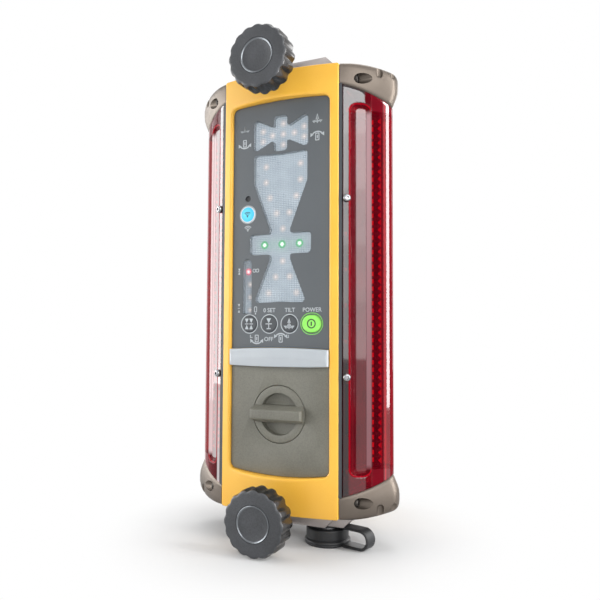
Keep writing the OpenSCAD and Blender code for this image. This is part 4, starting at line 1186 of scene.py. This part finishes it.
def keys():
    for name, x in KEY_X.items():
        power = name == "power_button"
        outline = oval(x, KEY_Z, POWER_HALF, KEY_R) if power else circle(x, KEY_Z, KEY_R, 48)
        skirt = grown(outline, 1.0)
        sheet = Sheet()
        sheet.tube(disc_rings(outline, PANEL_Y + 2.2, KEY_Y, 0.8, 0.12))
        sheet.tube([at(PANEL_Y + 2.2, skirt), at(PANEL_Y + 3.4, skirt)])
        key = sheet.piece(name.replace("button", "key"), GREEN_KEY if power else KEY)
        stand_for(key, name, "green_key" if power else "grey_keys", name)
        marks = Marks(KEY_Y + 0.05)
        KEY_SIGNS[name](marks, x)
        sign = marks.piece(name.replace("button", "sign"), DARK_INK if power else INK)
        stand_for(sign, name, "grey_keys")


def small_receiver(marks, cx, cz, turn):
    """Pictogram of a receiver that tilts: a small body over or under a curved arrow."""
    marks.hoop(box_outline(cx, cz, 1.6, 2.8, 0.6), box_outline(cx, cz, 1.0, 2.2, 0.3))
    marks.bar(cx, cz - 1.2, cx, cz + 1.2, 0.7)
    marks.sweep(cx, cz - 1.6 * turn, 4.9, 5.8, 90 * turn - 50, 90 * turn + 50)
    for s in (-1, 1):
        marks.arrow(cx + 5.4 * s, cz + 0.2 * turn, -(90 - 30 * s) * turn, 2.6, 2.8)


def tilt_prints(marks):
    """Signs beside the tilt window."""
    for x, z, turn in ((-30.2, 111.6, -1), (29.8, 109.6, 1)):
        small_receiver(marks, x, z, turn)
    for x, z, size in ((-30.2, 122.4, 0.8), (29.8, 122.6, 1.15)):
        marks.arrow(x, z + 3.6 * size, 90, 4.4, 2.4 * size)
        marks.bar(x, z - 2.6 * size, x, z + 2.2, 0.8 * size)
        marks.bar(x - 2.8, z - 1.6, x + 2.8, z - 1.6, 0.8 * size)
        for s in (-1, 1):
            marks.arrow(x + 4.0 * s, z - 1.1, 90 - 70 * s, 2.1, 2.2 * size)


def key_prints(marks):
    """Words and rings of the keys, the ring of the lamp, and the signs below the keys."""
    size, above = 4.3, -15.7
    for text, x, z in (("0 SET", -8.2, above), ("TILT", 8.5, above), ("POWER", 26.1, above),
                       ("OFF", -8.6, -36.9)):
        marks.word(text, size, x, z)
    for x in list(KEY_X.values())[:3]:
        marks.hoop(circle(x, KEY_Z, 7.2, 48), circle(x, KEY_Z, 6.5, 48))
    marks.hoop(circle(STRIP_X, LAMP_Z, 7.0, 48), circle(STRIP_X, LAMP_Z, 6.6, 48))
    for x, turn in ((-18.6, -1), (1.2, 1)):
        small_receiver(marks, x, -36.4, turn)
    for x, s in ((-24.0, 1), (7.6, -1)):
        marks.bar(x, -33.6, x, -35.6, 0.5)
        marks.bar(x - 0.25 * s, -35.6, x + 1.8 * s, -35.6, 0.5)


def strip_prints(marks):
    """Signs beside the level strip, and the waves below the lamp."""
    left, right = -34.0, -19.8
    for z, gap in ((13.9, 0.25), (-13.8, 1.2)):
        marks.arrow(left, z + gap, -90, 2.0, 1.9)
        marks.arrow(left, z - gap, 90, 2.0, 1.9)
        marks.bar(left - 1.0, z, left + 1.0, z, 0.4)
    for s in (-1, 1):
        marks.hoop(circle(right + 1.3 * s, 14.2, 1.45, 20), circle(right + 1.3 * s, 14.2, 0.95, 20))
    marks.hoop(box_outline(right, -14.8, 1.2, 2.2, 0.9), box_outline(right, -14.8, 0.7, 1.7, 0.5))
    marks.area(circle(right, -18.0, 0.55, 14))
    marks.waves(STRIP_X, 44.4, (1.3, 2.5, 3.7), 0.25, 50)
    marks.area(circle(STRIP_X, 44.6, 0.55, 14))


def prints():
    marks = Marks(PANEL_Y - 0.02)
    tilt_prints(marks)
    key_prints(marks)
    strip_prints(marks)
    stand_for(marks.piece("panel_print", INK), "receiver", "grey_panel")
    ring = Marks(PANEL_Y - 0.02)
    x = KEY_X["power_button"]
    ring.hoop(oval(x, KEY_Z, 0.9, 7.9), oval(x, KEY_Z, 0.9, 7.4))
    stand_for(ring.piece("power_ring", GREEN_INK), "receiver", "green_key")


def status_lamp():
    back, stem_end = PANEL_Y + 2.0, 12.4
    stem = circle(STRIP_X, LAMP_Z, 2.0, 20)
    sheet = Sheet()
    sheet.tube(disc_rings(circle(STRIP_X, LAMP_Z, LAMP_R, 48), back, PANEL_Y - 0.4, 0.35, -0.25))
    sheet.tube([at(back, stem), at(stem_end, stem)])
    stand_for(sheet.piece("lamp_cover", LAMP), "receiver", "blue_lamp", "status_lamp")
    marks = Marks(PANEL_Y - 0.66)
    marks.waves(STRIP_X, LAMP_Z - 1.6, (1.2, 2.3, 3.4), 0.28, 45)
    marks.area(circle(STRIP_X, LAMP_Z - 1.5, 0.6, 14))
    stand_for(marks.piece("lamp_sign", DARK_INK), "receiver", "black_plastic")


def trim_bar():
    r, gap, edge, crown = 0.8, 0.05, 0.9, 0.5
    back, front = PANEL_Y + 2, PANEL_Y - 4.4
    outline = arched(PANEL_W - 2 * SEAM, BAR_BOTTOM + gap, BAR_TOP - gap, BAR_BOTTOM_ARCH, BAR_TOP_ARCH,
                     r, r, sides=6)
    middle = (BAR_BOTTOM + BAR_TOP) / 2
    rings = [at(back, outline)] + edge_rings(outline, front + crown, edge)
    inner = grown(outline, -edge)
    for t in (0.8, 0.55, 0.25):
        narrow, y = 0.97 + 0.03 * t, front + crown * t * t
        rings.append([(x * narrow, y, middle + (z - middle) * t) for x, z in inner])
    sheet = Sheet()
    sheet.tube(rings)
    stand_for(sheet.piece("trim_plate", BAR), "receiver", "silver_bar", "trim_bar")


# Bumpers: soft corner caps with screw pockets and thumb scallops


def bumper_plan(flare, inset):
    c, q = face_centre(flare)
    r, nose = FACE_R - inset, NOSE_R - inset
    a0 = -math.acos((HALF_W + SEAM - c.x) / r)
    a1 = math.atan2(q.y - c.y, q.x - c.x)
    front = [(c.x + r * math.cos(a), c.y + r * math.sin(a)) for a in spread(a0, a1, 26)]
    front += [(q.x + nose * math.cos(a), q.y + nose * math.sin(a)) for a in spread(a1, 0, 8)[1:]]
    return front + [(x, BODY_D - y) for x, y in reversed(front[:-1])]


# Levels of a bumper: share of its height, how far it flares out, how far its face is drawn in
BUMPER_LEVELS = ((0.0, 0.2, 0.9), (0.015, 0.4, 0.4), (0.05, 0.7, 0.05), (0.12, 1.3, 0), (0.25, 2.7, 0),
                 (0.4, 3.8, 0), (0.55, 4.2, 0), (0.72, 4.2, 0), (0.84, 4.0, 0.1), (0.92, 3.6, 0.4),
                 (0.965, 3.2, 0.9), (0.99, 2.8, 1.7), (1.0, 2.4, 3.0))


def bumper(name, side, up):
    reach, drop, crown = 35.2, 5.5, 6.8

    def level(share, flare, inset):
        points = []
        for x, y in bumper_plan(flare, inset):
            rim = rim_z(y) + SEAM
            t = max(0.0, x - HALF_W) / reach
            top = min(HALF_H, HALF_H - drop * t + crown * t * (1 - t))
            points.append((side * x, y, up * (rim + (top - rim) * share)))
        return points

    def pocket(y):
        """Round hole from the side, with a pointed inner end."""
        cutter = Sheet()
        cutter.tube([[(side * x, y + v, up * POCKET_Z + u) for u, v in circle(0, 0, r)]
                     for x, r in ((53.5, 0.8), (POCKET_X, 3.1), (59, 3.8), (110, 3.8))])
        return cutter.piece("cutter", BUMPER)

    def scallop(x, y):
        """Round dent in the top edge."""
        r, bottom, above = 2.6, 153.0, 175.0
        profile = [(r * math.sin(a), bottom - r * math.cos(a)) for a in spread(0.15, math.pi / 2, 6)]
        cutter = Sheet()
        cutter.tube([[(side * (x + u), y + v, up * z) for u, v in circle(0, 0, k, 32)]
                     for k, z in profile + [(1.15 * r, above)]])
        return cutter.piece("cutter", BUMPER)

    sheet = Sheet()
    sheet.tube([level(*row) for row in BUMPER_LEVELS])
    piece = sheet.piece(name + "_cap", BUMPER, angle=40)
    cutters = [pocket(POCKET_Y), pocket(BODY_D - POCKET_Y)]
    cutters += [scallop(x, MID_Y + d) for x, d in ((72.6, -12.6), (72.6, 12.6), (81.0, -5.2), (81.0, 5.2))]
    carved(piece, cutters)
    stand_for(piece, "receiver", "bumper_paint", name)


# Latch: a cup with two finger wells and a grip across it


def latch():
    face, back, bar_half = PANEL_Y - 0.2, 12.8, 6.2
    profile = ((LATCH_R, back), (LATCH_R, face + 0.9), (LATCH_R - 0.1, face + 0.5),
               (LATCH_R - 0.35, face + 0.18), (LATCH_R - 0.8, face), (LATCH_R - 3.0, face), (15.9, face),
               (15.5, face + 0.12))
    sheet = Sheet()
    sheet.tube([at(y, circle(0, LATCH_Z, r, 96)) for r, y in profile])
    cup = sheet.piece("twist_cup", DOOR)
    wells = []
    lean = math.degrees(math.asin(bar_half / WELL_R))
    for s in (-1, 1):
        half_moon = [(x, s * z) for x, z in arc(0, 0, WELL_R, lean, 180 - lean, 40)][::s]
        line = rounded(half_moon, 0.8, 4)
        well = Sheet()
        well.tube([[(x, y, LATCH_Z + z) for x, z in grown(line, -d)]
                   for y, d in ((-5, 0), (10.2, 0), (11.1, 0.35), (11.4, 1.2))])
        wells.append(well.piece("well", DOOR))
    carved(cup, wells)
    stand_for(cup, "latch", "grey_door", "latch")

    nose, round_from = 1.4, 0.92
    sections = []
    for s in (-1, -0.985, -0.96, -0.92, -0.6, -0.3, 0, 0.3, 0.6, 0.92, 0.96, 0.985, 1):
        over = min(1.0, max(0.0, (abs(s) - round_from) / (1 - round_from)))
        top = GRIP_Y + nose * (1 - math.sqrt(1 - over ** 2)) + nose
        half = [(face + 1.0, 6.3), (face - 0.3, 6.1), (face - 1.0, 5.75), (top, 3.75)]
        half += [(top - nose * math.sin(t), 2.3 + 1.45 * math.cos(t)) for t in spread(0.2, math.pi / 2, 5)]
        section = half + [(y, -z) for y, z in reversed(half)]
        reach = LATCH_R - 0.15
        sections.append([(s * math.sqrt(reach ** 2 - z * z), y, LATCH_Z + z) for y, z in section])
    sheet = Sheet()
    sheet.tube(sections)
    stand_for(sheet.piece("twist_bar", DOOR, angle=40), "latch", "grey_door")


# Connector cap and its strap


def dust_cap():
    """Turned from its profile: radius and height above the rim, from the inside out and round below."""
    profile = ((4.0, 2.2), (10.3, 2.2), (10.3, CAP_H), (14.4, CAP_H), (15.0, CAP_H - 0.25),
               (15.4, CAP_H - 0.9), (15.4, 4.9), (15.1, 4.5), (15.1, 4.1), (15.9, 3.7), (16.4, 3.3),
               (16.6, 2.8), (16.5, 2.0), (16.3, 1.7), (16.5, 1.4), (16.5, 0.8), (16.2, 0.3), (15.7, 0),
               (8.0, 0), (7.6, 0.5), (3.0, 0.7))
    sheet = Sheet()
    sheet.tube([[(x, y, h - STAND_Z) for x, y in circle(CAP_X, CAP_Y, r, 72)] for r, h in profile])
    stand_for(sheet.piece("rubber_cap", RUBBER, angle=30), "dust_cap", "black_rubber", "dust_cap")


def cap_strap():
    """Band from the connector's collar out, round and back to the cap's rim."""
    turn, up, low, out = math.radians(-14), -169.4, -181.8, 30.6
    half, t, soft = 5.0, 1.0, 0.5
    r, mid = (up - low) / 2, (up + low) / 2
    line = [(s, up) for s in spread(10.8, out, 10)]
    line += [(out + r * math.sin(a), mid + r * math.cos(a)) for a in spread(0, math.pi, 20)[1:]]
    line += [(s, low) for s in spread(out, 16.4, 8)[1:]]
    profile = [(-half + soft, -t), (half - soft, -t), (half, -t + soft), (half, t - soft)]
    profile += [(-w, -h) for w, h in profile]
    sections = []
    for i, (s, z) in enumerate(line):
        a, b = Vector(line[max(0, i - 1)]), Vector(line[min(len(line) - 1, i + 1)])
        along = (b - a).normalized()
        section = []
        for w, h in profile:
            u = s - along.y * h
            x, y = u * math.cos(turn) - w * math.sin(turn), u * math.sin(turn) + w * math.cos(turn)
            section.append((CAP_X + x, CAP_Y + y, z + along.x * h))
        sections.append(section)
    sheet = Sheet()
    sheet.tube(sections)
    collar = ((10.2, -1), (12.0, -1), (12.4, -0.6), (12.4, 0.6), (12.0, 1), (10.2, 1), (10.2, -1))
    sheet.loft([[(x, y, up + d) for x, y in circle(CAP_X, CAP_Y, k, 48)] for k, d in collar])
    piece = sheet.piece("cap_band", RUBBER, angle=40)
    start, end = place(CAP_X, CAP_Y, -171.0), place(CAP_X, CAP_Y, -181.0)
    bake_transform(piece)
    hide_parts("cap_strap")


# What repeats: one tree sets an item out on points, turned along each point's aim


def set_out_tree():
    tree = bpy.data.node_groups.new("set_out", "GeometryNodeTree")
    kinds = {"Places": "Geometry", "Item": "Object", "Turn": "Float", "Finish": "Material"}
    for title, kind in kinds.items():
        tree.interface.new_socket(title, in_out="INPUT", socket_type="NodeSocket" + kind)
    tree.interface.new_socket("Result", in_out="OUTPUT", socket_type="NodeSocketGeometry")
    inputs = {q.name: Wire(tree, q) for q in tree.nodes.new("NodeGroupInput").outputs}
    item = Wire.node(tree, "GeometryNodeObjectInfo", {"transform_space": "ORIGINAL"},
                     {"Object": inputs["Item"]}, out="Geometry")
    aim = Wire.node(tree, "GeometryNodeInputNamedAttribute", {"data_type": "FLOAT_VECTOR"}, {"Name": "aim"})
    upright = Wire.node(tree, "FunctionNodeAlignRotationToVector", {"axis": "Z"}, {"Vector": aim})
    spin = Wire.node(tree, "FunctionNodeRandomValue", {"data_type": "FLOAT"},
                     {2: 0.0, 3: inputs["Turn"], "Seed": 7}, out=1)
    about = Wire.node(tree, "ShaderNodeCombineXYZ", {}, {2: spin})
    turned = Wire.node(tree, "FunctionNodeRotateRotation", {"rotation_space": "LOCAL"},
                       {0: upright, 1: Wire.node(tree, "FunctionNodeEulerToRotation", {}, {0: about})})
    copies = Wire.node(tree, "GeometryNodeInstanceOnPoints", {},
                       {"Points": inputs["Places"], "Instance": item, "Rotation": turned})
    solid = Wire.node(tree, "GeometryNodeRealizeInstances", {}, {0: copies})
    done = Wire.node(tree, "GeometryNodeSetMaterial", {}, {"Geometry": solid, "Material": inputs["Finish"]})
    feed(tree, tree.nodes.new("NodeGroupOutput").inputs[0], done)
    return tree


SET_OUT = set_out_tree()


def set_out(name, item, places, finish, turn=0.0):
    """Piece made of one item, drawn in millimetres about its own z axis, at each (point, aim)."""
    single = bpy.data.meshes.new(name + "_item")
    single.from_pydata([Vector(q) * MM for q in item.points], [], item.faces)
    with opened(single) as work:
        bmesh.ops.recalc_face_normals(work, faces=work.faces)
    tool = bpy.data.objects.new(name + "_item", single)
    mesh = bpy.data.meshes.new(name)
    mesh.from_pydata([place(*q) for q, _ in places], [], [])
    aims = mesh.attributes.new("aim", "FLOAT_VECTOR", "POINT")
    for i, (_, aim) in enumerate(places):
        aims.data[i].vector = aim
    piece = linked(name, mesh)
    layout = piece.modifiers.new("set_out", "NODES")
    layout.node_group = SET_OUT
    values = {"Item": tool, "Turn": turn, "Finish": finish.material}
    for socket in SET_OUT.interface.items_tree:
        if socket.name in values:
            layout[socket.identifier] = values[socket.name]
    settle(piece, 35)
    bpy.data.objects.remove(tool)
    return piece


def eight_ways(x, y, z, aim):
    """A place and its aim, mirrored to the left and right, to the front and back, and up and down."""
    found = []
    for s in (-1, 1):
        for t in (-1, 1):
            for u in (-1, 1):
                q = (s * x, y if t < 0 else BODY_D - y, u * z)
                found.append((q, (s * aim[0], -t * aim[1], u * aim[2])))
    return found


def screw_item(r, h, shaft_r, shaft_l):
    """Button-head screw with a six-sided socket, seated at z = 0."""
    socket, n = 0.5 * r, 36

    def six_sided(radius, z):
        points = []
        for a in spread(0, 2 * math.pi, n)[:-1]:
            k = radius * math.cos(math.pi / 6) / math.cos((a % (math.pi / 3)) - math.pi / 6)
            points.append((k * math.cos(a), k * math.sin(a), z))
        return points

    profile = ((shaft_r, -shaft_l), (shaft_r, 0), (0.97 * r, 0), (r, 0.12 * h), (r, 0.45 * h),
               (0.93 * r, 0.72 * h), (0.78 * r, 0.92 * h), (0.64 * r, h))
    rings = [[(x, y, z) for x, y in circle(0, 0, k, n)] for k, z in profile]
    rings += [six_sided(socket, h), six_sided(0.94 * socket, 0.9 * h), six_sided(0.9 * socket, 0.35 * h)]
    item = Sheet()
    item.tube(rings)
    return item


def screws():
    turn = 1.0
    (x, y), out = face_seat(SCREW_X)
    rear = [((s * 38.0, 56.8, z), (0, 1, 0)) for s in (-1, 1) for z in (-130.0, 0.0, 130.0)]
    clamp_spots = ((-9.6, 24.1), (9.6, 24.1), (-34.0, 24.1), (-34.0, 44.1))
    clamp = [((bx, by, u * 164.0), (0, 0, u)) for bx, by in clamp_spots for u in (-1, 1)]
    pockets = eight_ways(POCKET_X, POCKET_Y, POCKET_Z, (1, 0, 0))
    window = eight_ways(x, y, SCREW_Z, out)
    rows = (("window_screw", screw_item(2.8, 2.8, 1.6, 9.8), window, CHROME, "steel_screws"),
            ("bumper_screw", screw_item(2.9, 2.2, 1.5, 13.8), pockets, DARK_STEEL, "steel_screws"),
            ("housing_screw", screw_item(3.3, 1.8, 1.7, 7.2), rear, DARK_STEEL, "dark_screws"),
            ("clamp_bolt", screw_item(3.4, 3.4, 2.0, 20.8), clamp, DARK_STEEL, "dark_screws"))
    for name, item, places, finish, slot in rows:
        heads = set_out(name + "_heads", item, places, finish, turn)
        stand_for(heads, "receiver", slot, name + "s")


def comb_teeth():
    """Wedges, cells and tabs of the light combs behind the windows. The wedges and tabs glow with painted
    light, and the tabs add painted glints where the teeth show again in the recess wall.
    """
    pitch, out = 5.3, 3.45

    def slab(w0, w1, x0, x1):
        """Flat item, 2 w0 high at x0 and 2 w1 high at x1."""
        item = Sheet()
        item.tube([[(x0, -w0, z), (x1, -w1, z), (x1, w1, z), (x0, w0, z)] for z in (0.0, 0.5)])
        return item

    # Teeth and tabs take the tooth finish, whose glow is painted light
    rows = (("comb_teeth", slab(0.3, 2.1, -0.6, 1.6), 68.9, TOOTH),
            ("comb_cells", slab(1.7, 1.7, -1.5, 1.5), 66.9, BLACK),
            ("comb_tabs", slab(1.5, 1.5, -0.6, 0.6), 64.3, TOOTH))
    for name, item, x, finish in rows:
        places = []
        for s in (-1, 1):
            for face in (-1, 1):
                column = range(-23, 24)
                places += [((s * x, MID_Y + face * out, i * pitch), (0, face, 0)) for i in column]
        stand_for(set_out(name, item, places, finish), "receiver", "red_comb")


def lens_studs():
    """Studs that stand beside the gaskets, behind the windows."""
    profile = ((1.7, 0), (1.7, 0.8), (1.3, 1.2), (0.5, 1.3))
    stud = Sheet()
    stud.tube([[(x, y, z) for x, y in circle(0, 0, r, 24)] for r, z in profile])
    spot, out = face_seat(STUD_X, WINDOW_T + 1.5)
    places = [q for z in (12.7, 38.1) for q in eight_ways(*spot, z, out)]
    stand_for(set_out("lens_studs", stud, places, STEEL), "receiver", "steel_screws")


front_cover()
side_window("left", -1)
side_window("right", 1)
gaskets()
knob("top_knob", SPINDLE_Z)
knob("bottom_knob", -SPINDLE_Z)
display_windows()
keys()
prints()
status_lamp()
trim_bar()
for level, up in (("top", 1), ("bottom", -1)):
    for hand, side in (("left", -1), ("right", 1)):
        bumper(f"{level}_{hand}_bumper", side, up)
screws()
comb_teeth()
lens_studs()
softened("door_plate", "battery_door", DOOR, 0.5, "battery_pack")
latch()
dust_cap()
cap_strap()
softened("back_cover", "rear_housing", YELLOW, 1.0)
for end in ("top", "bottom"):
    softened(end + "_clamp_body", end + "_clamp_frame", CASTING, 0.8)
    softened(end + "_jaw_block", end + "_jaw", JAW, 0.7, end + "_jaw")
softened("connector_base", "connector_mount", CASTING, 0.6)
